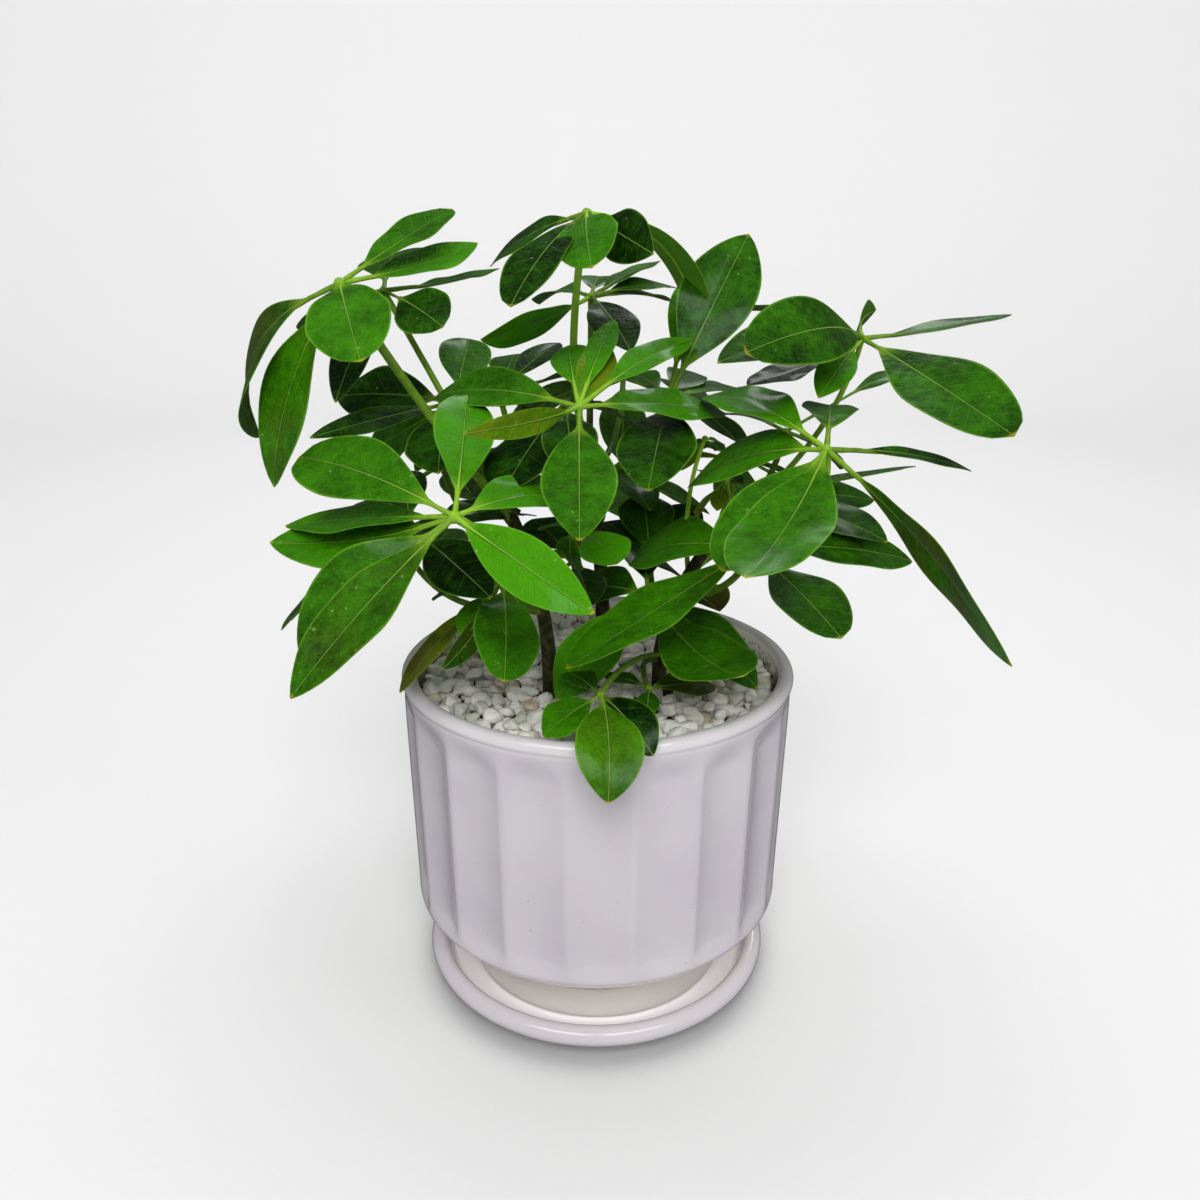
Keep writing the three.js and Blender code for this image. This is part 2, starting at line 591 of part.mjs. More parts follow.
function leaflet(hub, facing, [turn, rise, stalk, length, width, droop, roll]) {
  const turned = new THREE.Quaternion().setFromUnitVectors(UP, facing);
  const outward = point(Math.cos(radians(turn)), Math.sin(radians(turn)), 0)
    .applyQuaternion(turned)
    .multiplyScalar(Math.cos(radians(rise)))
    .addScaledVector(facing, Math.sin(radians(rise)));
  const normal = facing.clone().addScaledVector(outward, -facing.dot(outward)).normalize();
  normal.applyAxisAngle(outward, radians(roll));
  const sideways = outward.clone().cross(normal);
  const base = hub.clone().addScaledVector(outward, stalk);
  const rings = [
    bladeRing(hub, sideways, normal, STALK_HALF_WIDTH, 2 * STALK_HALF_WIDTH),
    bladeRing(base, sideways, normal, STALK_HALF_WIDTH, 2 * STALK_HALF_WIDTH),
  ];
  const bent = radians(droop || 1);
  const rows = length > 50 ? [0.22, 0.55, 0.85, 1] : [0.25, 0.66, 1];
  for (const along of rows) {
    const angle = bent * along;
    const centre = base.clone()
      .addScaledVector(outward, (Math.sin(angle) * length) / bent)
      .addScaledVector(normal, ((Math.cos(angle) - 1) * length) / bent);
    const lifted = normal.clone().multiplyScalar(Math.cos(angle))
      .addScaledVector(outward, Math.sin(angle));
    const halfWidth = Math.max((width / 2) * bladeShare(along), 0.4);
    rings.push(bladeRing(centre, sideways, lifted, halfWidth, BLADE_THICKNESS));
  }
  return solid(skin(rings, { flipped: [1] }));
}

function petiole(whorl, hub, facing) {
  const start = stemCurve(STEMS[whorl.stem]).getPoint(whorl.from);
  const reach = start.distanceTo(hub);
  const bend = whorl.bend ? point(...whorl.bend) : hub.clone().addScaledVector(facing, -0.5 * reach);
  const end = hub.clone().addScaledVector(facing, 1);
  return rod(curveOf([start, bend, end]), 3, PETIOLE_SIDES, PETIOLE_RADIUS, PETIOLE_RADIUS - 0.1);
}

function whorlSolid(whorl) {
  const hub = point(...whorl.hub);
  const facing = point(...whorl.faces).normalize();
  const leaflets = whorl.leaflets.map((growth) => leaflet(hub, facing, growth));
  return fuse([petiole(whorl, hub, facing), ...leaflets]);
}

function leafyStem(name) {
  const grown = [...WHORLS, ...BACK_WHORLS.map(backWhorl)];
  const whorls = grown.filter((whorl) => whorl.stem === name).map(whorlSolid);
  return fuse([stemSolid(STEMS[name]), ...whorls]);
}

// ---------------------------------------------------------------- the whole plant

const MATERIALS = {
  glaze: { color: 0xe4e2e4, roughness: 0.15, metalness: 0 },
  soil: { color: 0x3a2b20, roughness: 0.95, metalness: 0 },
  pebbles: { color: 0xd6d4cb, roughness: 0.5, metalness: 0 },
  leaves: { color: 0x3f7d22, roughness: 0.35, metalness: 0 },
};

const group = new THREE.Group();

function place(name, geometry, look) {
  const mesh = new THREE.Mesh(geometry, new THREE.MeshStandardMaterial(MATERIALS[look]));
  mesh.name = name;
  group.add(mesh);
}

const holes = fuse(Object.values(STEMS).map(stemHole));
place('saucer', saucer(), 'glaze');
place('pot', pot(), 'glaze');
place('soil', geometryOf(solid(soil()).subtract(holes)), 'soil');
place('gravel', geometryOf(solid(gravel()).subtract(holes)), 'pebbles');
for (const name of Object.keys(STEMS)) {
  place(name, geometryOf(leafyStem(name)), 'leaves');
}

export default group;
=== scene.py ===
"""The looks of a potted umbrella plant: leaves, stems, pebbles, glazed pot and saucer.

Growth is written in millimetres and degrees, as on the plant, and meshes are made in metres.
"""
import math
import random

import bmesh
import bpy
from mathutils import Matrix, Quaternion, Vector, noise


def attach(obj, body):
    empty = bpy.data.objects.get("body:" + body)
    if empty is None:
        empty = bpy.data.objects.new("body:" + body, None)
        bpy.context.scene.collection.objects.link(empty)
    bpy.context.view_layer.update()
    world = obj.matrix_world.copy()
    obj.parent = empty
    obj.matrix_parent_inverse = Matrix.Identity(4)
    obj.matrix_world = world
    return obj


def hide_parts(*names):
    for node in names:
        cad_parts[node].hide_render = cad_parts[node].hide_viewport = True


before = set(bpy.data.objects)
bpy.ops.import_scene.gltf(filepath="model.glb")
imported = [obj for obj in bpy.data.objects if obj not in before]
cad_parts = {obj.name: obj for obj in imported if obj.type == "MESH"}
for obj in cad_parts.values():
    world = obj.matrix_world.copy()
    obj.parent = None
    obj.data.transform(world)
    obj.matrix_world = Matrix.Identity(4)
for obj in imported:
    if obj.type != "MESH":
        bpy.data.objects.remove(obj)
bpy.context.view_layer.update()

MM = 0.001
UP = Vector((0, 0, 1))

# ---------------------------------------------------------------- sizes, millimetres

POT_RADIUS = 70
POT_TOP = 123.9
LIP_FOOT = POT_TOP - 4.3
LIP_ROUNDING = 2.6
BORE_RADIUS = 64.7
BORE_ROUNDING = 2.3
OUTER_WALL_FROM = BORE_RADIUS + 0.5
# The pot's outer wall, upwards: radius, height and steps from the point before.
POT_WALL = [(68, 36.4, 0), (68.1, 42.4, 8), (69.3, 106.9, 18), (69.3, LIP_FOOT, 24)]
# The pot's inside with its drain hole, downwards, and its underside, outwards: radius and height.
POT_INSIDE = [
    (BORE_RADIUS, POT_TOP - 6), (62.6, 42), (57, 33.5), (27, 10.5), (5, 10.5), (5, 6), (26, 6),
    (27.5, 3.3),
]
POT_UNDERSIDE = [
    (32, 3.3), (33.5, 6.8), (40, 12.2), (50, 20.4), (57, 26), (60, 28.3), (62.4, 30.2),
    (64.4, 31.8), (65.4, 32.7), (66.1, 33.4), (66.7, 34.1), (67.3, 34.8), (67.8, 35.6),
]

FLUTES = 20
FLUTE_DEPTH = 2.6
FLUTE_TURN = 10
FLUTE_TOP = LIP_FOOT - 0.2
FLUTE_ARCH = 1.6
FLUTE_TOP_FADE = 11
FLUTE_FOOT = 35.5
FLUTE_FOOT_FADE = 8
COLUMNS_PER_FLUTE = 14

SAUCER_SIDES = 180
SAUCER_BEAD_MIDDLE = (61.5, 9.2)
SAUCER_BEAD_SIZE = 3.5
# The rest of the saucer's section: underside outwards, then inwards from the bead to the middle.
SAUCER_UNDERSIDE = [(0.01, 0), (45.6, 0), (46.6, 0.25), (50, 1.6), (56, 3.9), (60.2, 5.0)]
SAUCER_RING = [
    (57.5, 7.0), (57.2, 6.1), (56.8, 5.5), (56.2, 5.1), (55.2, 4.9), (52, 4.65), (50, 4.55),
]
SAUCER_RIDGE = [(49.6, 4.8), (49.2, 5.2), (48.8, 5.4), (48.4, 5.35), (47.8, 5.0), (47, 4.5)]
SAUCER_WELL = [(45.6, 3.9), (43, 3.3), (40, 3), (0.01, 3)]

GRAVEL_REACH = 63.6
# Layers of pebbles: spacing, height and how far the height varies.
PEBBLE_LAYERS = [(5.9, 113.0, 0.4), (7.6, 115.7, 0.8)]
PEBBLE_ROW_PITCH = 0.866
PEBBLE_SHIFT = 0.3
PEBBLE_HALF_SIZES = (2.6, 4.5)
WALL_ROW_HEIGHTS = (113.5, 116.2)
WALL_PEBBLE_HALF_SIZES = (2.2, 3.6)
PEBBLE_SHAPES = 16
PEBBLE_FLATS = 8
PEBBLE_SEED = 4
STEM_CLEARANCE = 2.6

STEM_FOOT_HEIGHT = 96
STEM_STRAIGHT_TO = 122
STEM_STEP = 4
STEM_BENT_STEPS = 20
STEM_TAPER = 0.25
STEM_SWELL = 0.06
PETIOLE_STEPS = 16
KNOB_PROUD = 0.45
STALK_RADIUS = 0.75
FULL_STALK_LENGTH = 34
RIB_BELOW_BLADE = 0.28

BLADE_ROWS = 22
BLADE_COLUMNS = 10
BLADE_THICKNESS = 0.4
BLADE_TIP_HALF = 0.35
BLADE_BELLY = 0.55
BLUNT_BELLY = 0.59
BLADE_RIPPLE = 0.03
PLANT_SEED = 7

# ---------------------------------------------------------------- how the plant grows

# Stems: foot, top, radius.
STEMS = {
    "stem_left": ((-17, -10), (-30, -2, 178), 2.6),
    "stem_centre": ((2, 15), (-4, 20, 196), 2.8),
    "stem_right": ((22, -6), (44, -6, 176), 2.6),
}

# Whorls: name, stem, how far up the stem the petiole leaves, its bend or None, hub, facing and
# leaflets. A leaflet: turn, rise, stalk, length, width, droop, roll, tone from dark 0 to bright 1.
# The tone is the leaflet's own green and also painted light and shade: leaflets deep in the plant
# are darker and lit ones brighter.
WHORLS = [
    ("front_left", "stem_centre", 0.55, (-16, -36, 166), (-40, -65, 193), (-0.2, -0.6, 0.75), [
        (87, -5, 8, 52, 19, 19, 28, 0.75),
        (39, -25, 5, 49, 25, 36, -4, 0.9),
        (309, 12, 4, 51, 16, 25, 21, 1.0),
        (227, 5, 8, 58, 21, 15, 3, 0.4),
        (212, -2, 8, 51, 27, 26, -13, 0.45),
        (171, -20, 10, 53, 21, -28, 3, 0.65),
        (162, -8, 8, 53, 18, 6, 26, 0.6),
        (145, 15, 7, 54, 24, 34, 4, 0.5),
    ]),
    ("front_middle", "stem_centre", 0.7, None, (-6, -28, 218), (0, -0.55, 0.8), [
        (152, -7, 8, 52, 21, 30, -2, 0.45),
        (246, 32, 7, 50, 8, 24, -79, 0.8),
        (271, 10, 10, 47, 22, 13, 0, 0.45),
        (75, -6, 1, 37, 13, 7, 17, 0.75),
        (78, -2, 8, 43, 10, 12, -8, 0.9),
        (98, -6, 11, 32, 13, 23, -14, 0.9),
        (49, 0, 12, 44, 15, 19, -11, 0.7),
        (23, -14, 6, 50, 21, 17, -11, 0.6),
    ]),
    ("front_right", "stem_right", 0.8, None, (66, -48, 209), (-0.25, -0.4, 0.88), [
        (241, -3, 3, 62, 27, -24, 1, 0.5),
        (222, -6, 4, 46, 26, 5, 1, 0.5),
        (140, -12, 6, 55, 28, 33, 0, 0.65),
        (116, 5, 10, 53, 23, 29, 14, 0.8),
        (76, -9, 12, 38, 18, 30, 12, 0.4),
        (19, -28, 11, 49, 8, 16, 5, 0.2),
        (288, 1, 15, 80, 18, -13, 94, 0.45),
    ]),
    ("upper_right", "stem_right", 0.95, None, (87, 5, 236), (0.1, -0.3, 0.95), [
        (237, 26, 9, 60, 24, 47, -33, 0.25),
        (298, 1, 7, 61, 28, 5, 20, 0.3),
        (22, 3, 8, 53, 14, -5, -14, 0.3),
        (82, -6, 9, 38, 12, 27, -87, 0.3),
        (242, -4, 9, 31, 12, 16, -2, 0.7),
        (219, -11, 19, 33, 16, -12, 13, 0.3),
        (211, 10, 8, 52, 23, 25, 3, 0.25),
        (124, -3, 8, 53, 22, 21, 15, 0.4),
    ]),
    ("upper_left", "stem_left", 0.95, (-60, 2, 212), (-81, -8, 253), (-0.3, -0.45, 0.85), [
        (285, 10, 1, 49, 26, 24, -8, 0.55),
        (215, -27, 8, 63, 27, 32, -8, 0.55),
        (186, -5, 11, 62, 33, 80, -3, 0.25),
        (50, -5, 9, 44, 18, 4, 8, 0.45),
        (42, -23, 11, 43, 18, -12, 12, 0.7),
    ]),
    ("upper_left_back", "stem_left", 0.9, (-57, 14, 222), (-72, 14, 250), (-0.1, -0.3, 0.95), [
        (312, -4, 9, 22, 20, 25, 20, 0.2),
        (49, -13, 12, 42, 13, -7, -5, 0.3),
        (95, 4, 8, 45, 24, 19, -6, 0.3),
        (255, -16, 7, 42, 13, 15, -8, 0.05),
        (149, -14, 8, 42, 18, 20, 0, 0.3),
    ]),
    ("top", "stem_centre", 1, (-13, 8, 225), (-4, 0, 274), (0.1, -0.4, 0.9), [
        (269, 12, 4, 40, 20, 21, 27, 0.5),
        (155, -29, 6, 40, 17, 25, -15, 0.2),
        (247, 2, 8, 48, 18, 24, 16, 0.1),
        (30, -11, 6, 63, 22, 79, -18, 0.9),
        (294, 10, 10, 33, 16, 10, 60, 0.05),
        (84, -32, 8, 42, 18, 21, 0, 0.3),
    ]),
    ("top_back", "stem_centre", 0.95, None, (-3, 45, 247), (0, -0.2, 1), [
        (228, -10, 8, 43, 18, 14, -124, 1),
        (118, -3, 8, 44, 17, 31, -10, 0.3),
        (59, 7, 7, 45, 13, 8, -11, 0.3),
        (47, 1, 9, 42, 15, 18, 5, 0.3),
        (50, -5, 10, 43, 15, 20, 4, 0.3),
        (284, 2, 7, 45, 17, 18, 6, 0.05),
        (85, 4, 8, 36, 15, 19, 0, 0.3),
    ]),
    ("upper_middle", "stem_centre", 0.85, None, (24, 8, 216), (0.05, -0.35, 0.93), [
        (57, 46, 10, 54, 27, 12, 14, 0.3),
        (80, 28, 12, 46, 12, 24, 19, 0.5),
        (260, -1, 7, 44, 26, 11, 8, 0.25),
        (112, -7, 8, 34, 14, 22, -2, 0.4),
        (72, -6, 7, 34, 15, 18, 7, 0.4),
        (46, -10, 8, 46, 19, 17, -11, 0.4),
        (40, -30, 8, 45, 19, 21, -9, 0.3),
    ]),
    ("middle_left", "stem_left", 0.85, None, (-51, 22, 212), (-0.1, -0.35, 0.93), [
        (87, 6, 9, 40, 20, 13, 16, 0.4),
        (167, 9, 6, 41, 24, 23, -21, 0.1),
        (171, -28, 8, 36, 22, 2, -28, 0.5),
        (250, -18, 14, 20, 9, -14, 12, 0.5),
        (224, 15, 8, 49, 11, 6, -20, 0.2),
        (268, 12, 9, 41, 26, 24, 12, 0.2),
    ]),
    ("middle_back", "stem_centre", 0.8, None, (-37, 48, 212), (0, -0.3, 0.95), [
        (66, 6, 11, 40, 15, 14, 0, 0.1),
        (88, 0, 8, 42, 17, 16, -6, 0.3),
        (130, -29, 8, 42, 18, 23, 0, 0.2),
        (330, -20, 8, 36, 16, 20, 0, 0.2),
    ]),
    ("middle", "stem_centre", 0.75, None, (-11, 2, 215), (0, -0.45, 0.9), [
        (249, 7, 8, 44, 26, 12, 17, 0.05),
        (274, 15, 8, 42, 18, 16, 0, 0.15),
        (127, -22, 8, 40, 17, 22, 0, 0.3),
        (44, -30, 8, 40, 17, 23, 0, 0.2),
        (61, -8, 8, 40, 17, 19, 0, 0.3),
    ]),
    ("young_right", "stem_right", 0.6, None, (43, -5, 190), (-0.3, -0.2, 0.9), [
        (232, -25, 2, 9, 7, 19, -3, 0.6),
        (134, -34, 6, 19, 8, 23, 6, 0.6),
        (300, -4, 5, 8, 6, 19, -1, 0.7),
        (63, -13, 4, 10, 5, 20, 1, 0.7),
    ]),
    ("young_upper", "stem_right", 0.65, None, (36, 2, 203), (0.3, -0.2, 0.9), [
        (54, -9, 3, 14, 5, 19, 0, 0.6),
        (56, -21, 3, 11, 5, 19, 0, 0.6),
        (93, -44, 4, 20, 7, 22, 0, 0.5),
        (81, -25, 3, 15, 5, 22, 0, 0.5),
    ]),
    ("low_right", "stem_right", 0.5, None, (49, -25, 172), (0.1, -0.3, 0.95), [
        (147, -15, 6, 48, 26, 39, -17, 0.6),
        (221, -11, 6, 70, 25, 1, 17, 0.5),
        (295, 8, 11, 39, 22, 15, 6, 0.3),
        (6, 7, 10, 47, 22, 24, 5, 0.3),
        (77, -3, 8, 42, 18, 18, 0, 0.2),
    ]),
    ("middle_right", "stem_right", 0.7, None, (55, 12, 181), (0.15, -0.2, 0.95), [
        (8, 18, 9, 50, 13, 2, -20, 0.35),
        (14, 6, 8, 41, 18, 15, 13, 0.3),
        (317, 15, 8, 45, 21, 19, 7, 0.1),
        (109, -6, 8, 36, 15, 19, 0, 0.2),
        (256, 9, 8, 39, 17, 17, 0, 0.2),
    ]),
    ("right_back", "stem_right", 0.85, None, (69, 34, 200), (0.1, -0.3, 0.95), [
        (24, 27, 29, 25, 10, 19, -8, 0.3),
        (99, -37, 8, 41, 17, 24, 0, 0.2),
        (110, -11, 8, 40, 17, 20, 0, 0.2),
        (38, -24, 8, 40, 17, 22, 0, 0.2),
    ]),
    ("low_middle", "stem_right", 0.25, None, (17, -18, 154), (0, -0.4, 0.9), [
        (139, -17, 4, 37, 21, 34, -12, 0.25),
        (295, -1, 8, 56, 26, -43, 2, 0.5),
        (326, -11, 4, 44, 22, 27, -5, 0.3),
        (222, -16, 7, 40, 22, 27, 1, 0.8),
        (54, -28, 9, 47, 24, 35, -28, 0.3),
        (92, -8, 8, 36, 15, 19, 0, 0.2),
    ]),
    ("low_left", "stem_left", 0.4, None, (-32, -22, 160), (-0.1, -0.3, 0.95), [
        (280, 11, 8, 43, 21, 30, -25, 0.5),
        (221, -16, 12, 37, 14, 16, 17, 0.25),
        (256, -3, 15, 27, 9, 29, -75, 0.2),
        (248, 5, 9, 20, 10, 14, -2, 0.7),
        (136, -23, 8, 41, 18, 18, -10, 0.3),
        (302, -7, 2, 13, 7, 19, 0, 0.6),
    ]),
    ("left", "stem_left", 0.6, None, (-60, -22, 177), (-0.1, -0.3, 0.95), [
        (305, 4, 9, 39, 20, 14, 10, 0.05),
        (44, -11, 8, 39, 17, 18, 8, 0.2),
        (144, -22, 8, 40, 17, 22, 0, 0.3),
        (104, 3, 8, 41, 17, 17, 0, 0.2),
        (124, -4, 8, 40, 17, 19, 0, 0.2),
    ]),
    ("young_middle", "stem_centre", 0.6, None, (-8, -22, 179), (0, -0.3, 0.9), [
        (316, -3, 5, 16, 21, 29, -8, 1.1),
        (218, -76, 3, 15, 14, 40, -2, 0.5),
        (64, -9, 8, 24, 10, 20, 0, 0.5),
        (121, -26, 8, 20, 8, 22, 0, 0.5),
    ]),
    ("young_rim", "stem_right", 0.1, (8, -30, 137), (1, -55, 134), (0, -0.2, 1), [
        (213, -9, 3, 19, 17, 23, 3, 0.6),
        (278, 9, 5, 35, 21, 61, -10, 0.5),
        (300, 11, 2, 26, 16, 55, 14, 0.05),
        (116, -8, 3, 24, 11, 19, 0, 0.3),
    ]),
    ("young_low", "stem_right", 0.06, (12, -18, 132), (17, -34, 127), (0, 0, 1), [
        (36, -8, 2, 29, 15, 12, 14, 0.3),
        (150, 10, 2, 16, 9, 15, 0, 0.3),
        (265, 0, 2, 15, 8, 20, 0, 0.3),
    ]),
    ("inner_right", "stem_right", 0.3, None, (19, 12, 156), (0, -0.4, 0.9), [
        (92, 9, 6, 34, 22, 18, 0, 0.3),
        (115, -5, 6, 34, 20, 20, 0, 0.15),
        (63, 6, 6, 35, 18, 19, 0, 0.2),
        (42, -40, 6, 34, 18, 22, 0, 0.1),
    ]),
    ("inner_left", "stem_centre", 0.3, None, (-9, 16, 155), (0, -0.4, 0.9), [
        (117, -3, 6, 33, 20, 19, 0, 0.2),
        (81, 5, 6, 35, 16, 19, 0, 0.15),
        (135, -48, 6, 34, 18, 22, 0, 0.1),
        (281, 24, 6, 31, 16, 18, 0, 0.2),
    ]),
]

# Leaflets, by whorl and turn, whose tip is round.
BLUNT_LEAFLETS = {
    ("front_left", 87), ("front_left", 145), ("upper_left", 285), ("upper_left", 50),
    ("upper_left_back", 312), ("top", 269), ("top", 247), ("front_right", 241),
    ("front_right", 222), ("upper_right", 237), ("upper_right", 298), ("low_right", 295),
    ("low_left", 280), ("middle_left", 87), ("young_middle", 316), ("low_middle", 295),
    ("middle", 249),
}
# Leaflets that are olive and leaflets with a brown blush, with how much of it they have.
OLIVE_LEAFLETS = {
    ("front_middle", 75): 0.6, ("front_middle", 246): 0.5, ("low_left", 221): 0.5,
    ("young_low", 36): 0.3, ("low_middle", 54): 0.5, ("young_right", 134): 0.7,
    ("young_right", 232): 0.5, ("young_rim", 278): 0.1, ("young_upper", 93): 0.6,
    ("young_upper", 54): 0.5,
}
BLUSH_LEAFLETS = {
    ("front_left", 227): 0.15, ("front_right", 288): 0.5, ("upper_left", 186): 0.3,
    ("upper_left", 215): 0.2, ("low_left", 221): 0.5, ("low_left", 256): 0.5,
    ("front_middle", 246): 0.15, ("low_middle", 54): 0.5,
}
# Petioles: radius at the stem and at the hub, and how bright, which is partly painted light
# against the shade of the leaflets. What most have, then the others.
PETIOLE_LOOK = (1.3, 1.1, 0.4)
PETIOLES = {
    "front_left": (1.6, 1.4, 0.6), "upper_left": (1.6, 1.4, 0.5),
    "upper_left_back": (1.2, 1.0, 0.5), "top": (1.4, 1.2, 0.8), "upper_right": (1.1, 0.9, 0.5),
    "young_right": (0.9, 0.7, 0.8), "young_upper": (0.9, 0.7, 0.9),
    "young_middle": (1.0, 0.8, 0.6), "young_rim": (1.1, 0.9, 0.5), "young_low": (1.0, 0.8, 0.4),
    "front_middle": (1.3, 1.1, 0.7), "front_right": (1.3, 1.1, 0.7),
}
# Materials of a leafy stem, in order.
LEAF_TOP, LEAF_UNDER, STALK = range(3)
# Tones are three numbers that a material reads: brightness, olive and blush on leaflets,
# brightness and woodiness on stalks, and grey, beige and dirt on pebbles. The brightness of
# leaflets and stalks is partly painted light and shade.
STEM_TONE = (0.15, 0.8, 0.0)
PLAIN_TONE = (0, 0, 0)

# Whorls behind the plant: name, stem, how far up the petiole leaves, hub.
BACK_WHORLS = [
    ("back_left", "stem_left", 0.8, (-64, 68, 180)),
    ("back_left_low", "stem_left", 0.45, (-80, 47, 158)),
    ("back_middle", "stem_centre", 0.5, (-6, 84, 176)),
    ("back_upper", "stem_centre", 0.9, (10, 80, 214)),
    ("back_right", "stem_right", 0.75, (58, 66, 184)),
]
BACK_LEAFLETS = 5
BACK_SEED = 101
BACK_STALK = 8
BACK_WIDTH_SHARE = 0.46
BACK_TONE = 0.3
BACK_LEAN = 200
DRAW_FACTOR, DRAW_STEP, DRAW_RANGE = 1664525, 1013904223, 4294967296


def random_from(seed):
    """Seeded random numbers from 0 to 1, by the same rule that grows the back whorls' solids."""
    state = seed

    def draw():
        nonlocal state
        state = (state * DRAW_FACTOR + DRAW_STEP) % DRAW_RANGE
        return state / DRAW_RANGE
    return draw


def back_whorl(order, name, stem, start, hub):
    """A whorl that the photograph doesn't show, its leaflets spread evenly round the hub."""
    draw = random_from(BACK_SEED + order)
    leaflets = []
    for i in range(BACK_LEAFLETS):
        turn = (i + 0.3 * draw()) / BACK_LEAFLETS * 360
        length = 42 + 12 * draw()
        rise = -16 + 12 * draw()
        droop = 12 + 20 * draw()
        width = BACK_WIDTH_SHARE * length
        leaflets.append((turn, rise, BACK_STALK, length, width, droop, 0, BACK_TONE))
    facing = (hub[0] / BACK_LEAN, hub[1] / BACK_LEAN, 0.9)
    return (name, stem, start, None, hub, facing, leaflets)


# ---------------------------------------------------------------- mesh helpers

class Build:
    """Vertices, faces and their looks, gathered into one object."""

    def __init__(self):
        self.points = []
        self.faces = []
        self.slots = []
        self.places = []
        self.tones = []

    def add(self, points, faces, slot, tone, places=None):
        """Adds a skin; places are, for each point, its place on the blade in mm and as a share."""
        first = len(self.points)
        self.points.extend(points)
        self.faces.extend([tuple(first + i for i in face) for face in faces])
        self.slots.extend([slot] * len(faces))
        self.tones.extend([tone] * len(points))
        self.places.extend(places or [(0.0, 0.0, 0.0, 0.0)] * len(points))

    def object(self, name, materials, node):
        mesh = bpy.data.meshes.new(name)
        mesh.from_pydata([p * MM for p in self.points], [], self.faces)
        mesh.polygons.foreach_set("material_index", self.slots)
        mesh.polygons.foreach_set("use_smooth", [True] * len(self.faces))
        tones = mesh.attributes.new("tone", "FLOAT_COLOR", "POINT")
        tones.data.foreach_set("color", [value for tone in self.tones for value in (*tone, 1.0)])
        corners = [loop.vertex_index for loop in mesh.loops]
        sizes = [value for i in corners for value in self.places[i][:2]]
        shares = [value for i in corners for value in self.places[i][2:]]
        mesh.uv_layers.new(name="blade_mm").data.foreach_set("uv", sizes)
        mesh.uv_layers.new(name="blade_share").data.foreach_set("uv", shares)
        for material in materials:
            mesh.materials.append(material)
        piece = bpy.data.objects.new(name, mesh)
        bpy.context.scene.collection.objects.link(piece)
        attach(piece, "root")
        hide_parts(node)


def ring_points(profile, count):
    """Points round the axis for a section given as radius and height."""
    points = []
    for radius, height in profile:
        for side in range(count):
            angle = 2 * math.pi * side / count
            points.append(Vector((math.cos(angle) * radius, math.sin(angle) * radius, height)))
    return points


def ring_faces(rows, count, looped=False, capped=True):
    """Quads between rings of points, with a flat end at each end of an open skin."""
    faces = []
    for row in range(rows if looped else rows - 1):
        here, there = row * count, (row + 1) % rows * count
        for i in range(count):
            j = (i + 1) % count
            faces.append((here + i, here + j, there + j, there + i))
    if capped and not looped:
        last = (rows - 1) * count
        faces.append(tuple(reversed(range(count))))
        faces.append(tuple(range(last, last + count)))
    return faces


def bezier(corners, share):
    a, b, c = corners
    return a.lerp(b, share).lerp(b.lerp(c, share), share)


def rod(build, path, radii, sides, tone):
    """A round rod through the points of a path."""
    points = []
    side = (path[1] - path[0]).orthogonal().normalized()
    for i, centre in enumerate(path):
        ahead = path[min(i + 1, len(path) - 1)] - path[max(i - 1, 0)]
        ahead.normalize()
        side = (side - ahead * side.dot(ahead)).normalized()
        other = ahead.cross(side)
        for k in range(sides):
            angle = 2 * math.pi * k / sides
            reach = side * math.cos(angle) + other * math.sin(angle)
            points.append(centre + reach * radii[i])
    build.add(points, ring_faces(len(path), sides), STALK, tone)


def ball(radius):
    """Points and faces of a ball."""
    shape = bmesh.new()
    bmesh.ops.create_icosphere(shape, subdivisions=3, radius=radius)
    points = [vertex.co.copy() for vertex in shape.verts]
    faces = [tuple(vertex.index for vertex in face.verts) for face in shape.faces]
    shape.free()
    return points, faces


# ---------------------------------------------------------------- materials

def srgb(red, green, blue):
    """A colour given as 0 to 255, as a picture shows it, made linear."""
    def linear(value):
        value /= 255
        return value / 12.92 if value <= 0.04045 else ((value + 0.055) / 1.055) ** 2.4
    return (linear(red), linear(green), linear(blue), 1.0)


OLIVE = srgb(120, 118, 14)
BROWN_BLUSH = srgb(74, 58, 22)
LEAF_FOOT = srgb(140, 178, 48)
LEAF_MARGIN = srgb(128, 180, 50)
LEAF_TIP = srgb(196, 180, 40)
LEAF_FRECKLE = srgb(170, 190, 120)
GREEN_STALK = (srgb(22, 48, 12), srgb(132, 178, 44))
BARK = (srgb(32, 28, 18), srgb(76, 64, 44))
GLAZE_BODY = (srgb(188, 181, 190), srgb(194, 189, 194))
# Painted light: the lit edge, ring, well, underside and bore colours below are lighter than the
# glaze.
GLAZE_LIT_EDGES = srgb(207, 202, 206)
GLAZE_RING_LIT = srgb(246, 241, 243)
GLAZE_WELL_CREAM_LIT = srgb(253, 249, 243)
GLAZE_UNDER_POT_LIT = srgb(250, 246, 238)
GLAZE_BORE_TINT_AND_LIGHT = srgb(244, 239, 229)
GLAZE_SPECK = srgb(130, 120, 116)
INNER_DIRT = srgb(48, 36, 26)
QUARTZ = (srgb(226, 222, 214), srgb(253, 250, 246))
GREY_QUARTZ = srgb(176, 184, 168)
BEIGE_QUARTZ = srgb(206, 180, 142)
DUST = srgb(104, 86, 66)
SOIL = (srgb(30, 22, 16), srgb(92, 72, 54))
PAPER = (srgb(222, 222, 222), srgb(225, 225, 225))
PAPER_SHADE = srgb(172, 172, 172)
PAPER_SIDES = srgb(190, 190, 190)

# Side veins: how far they slant and their pitch, in radians to a millimetre.
VEIN_SLANT = 0.8
VEIN_PITCH = 1.05

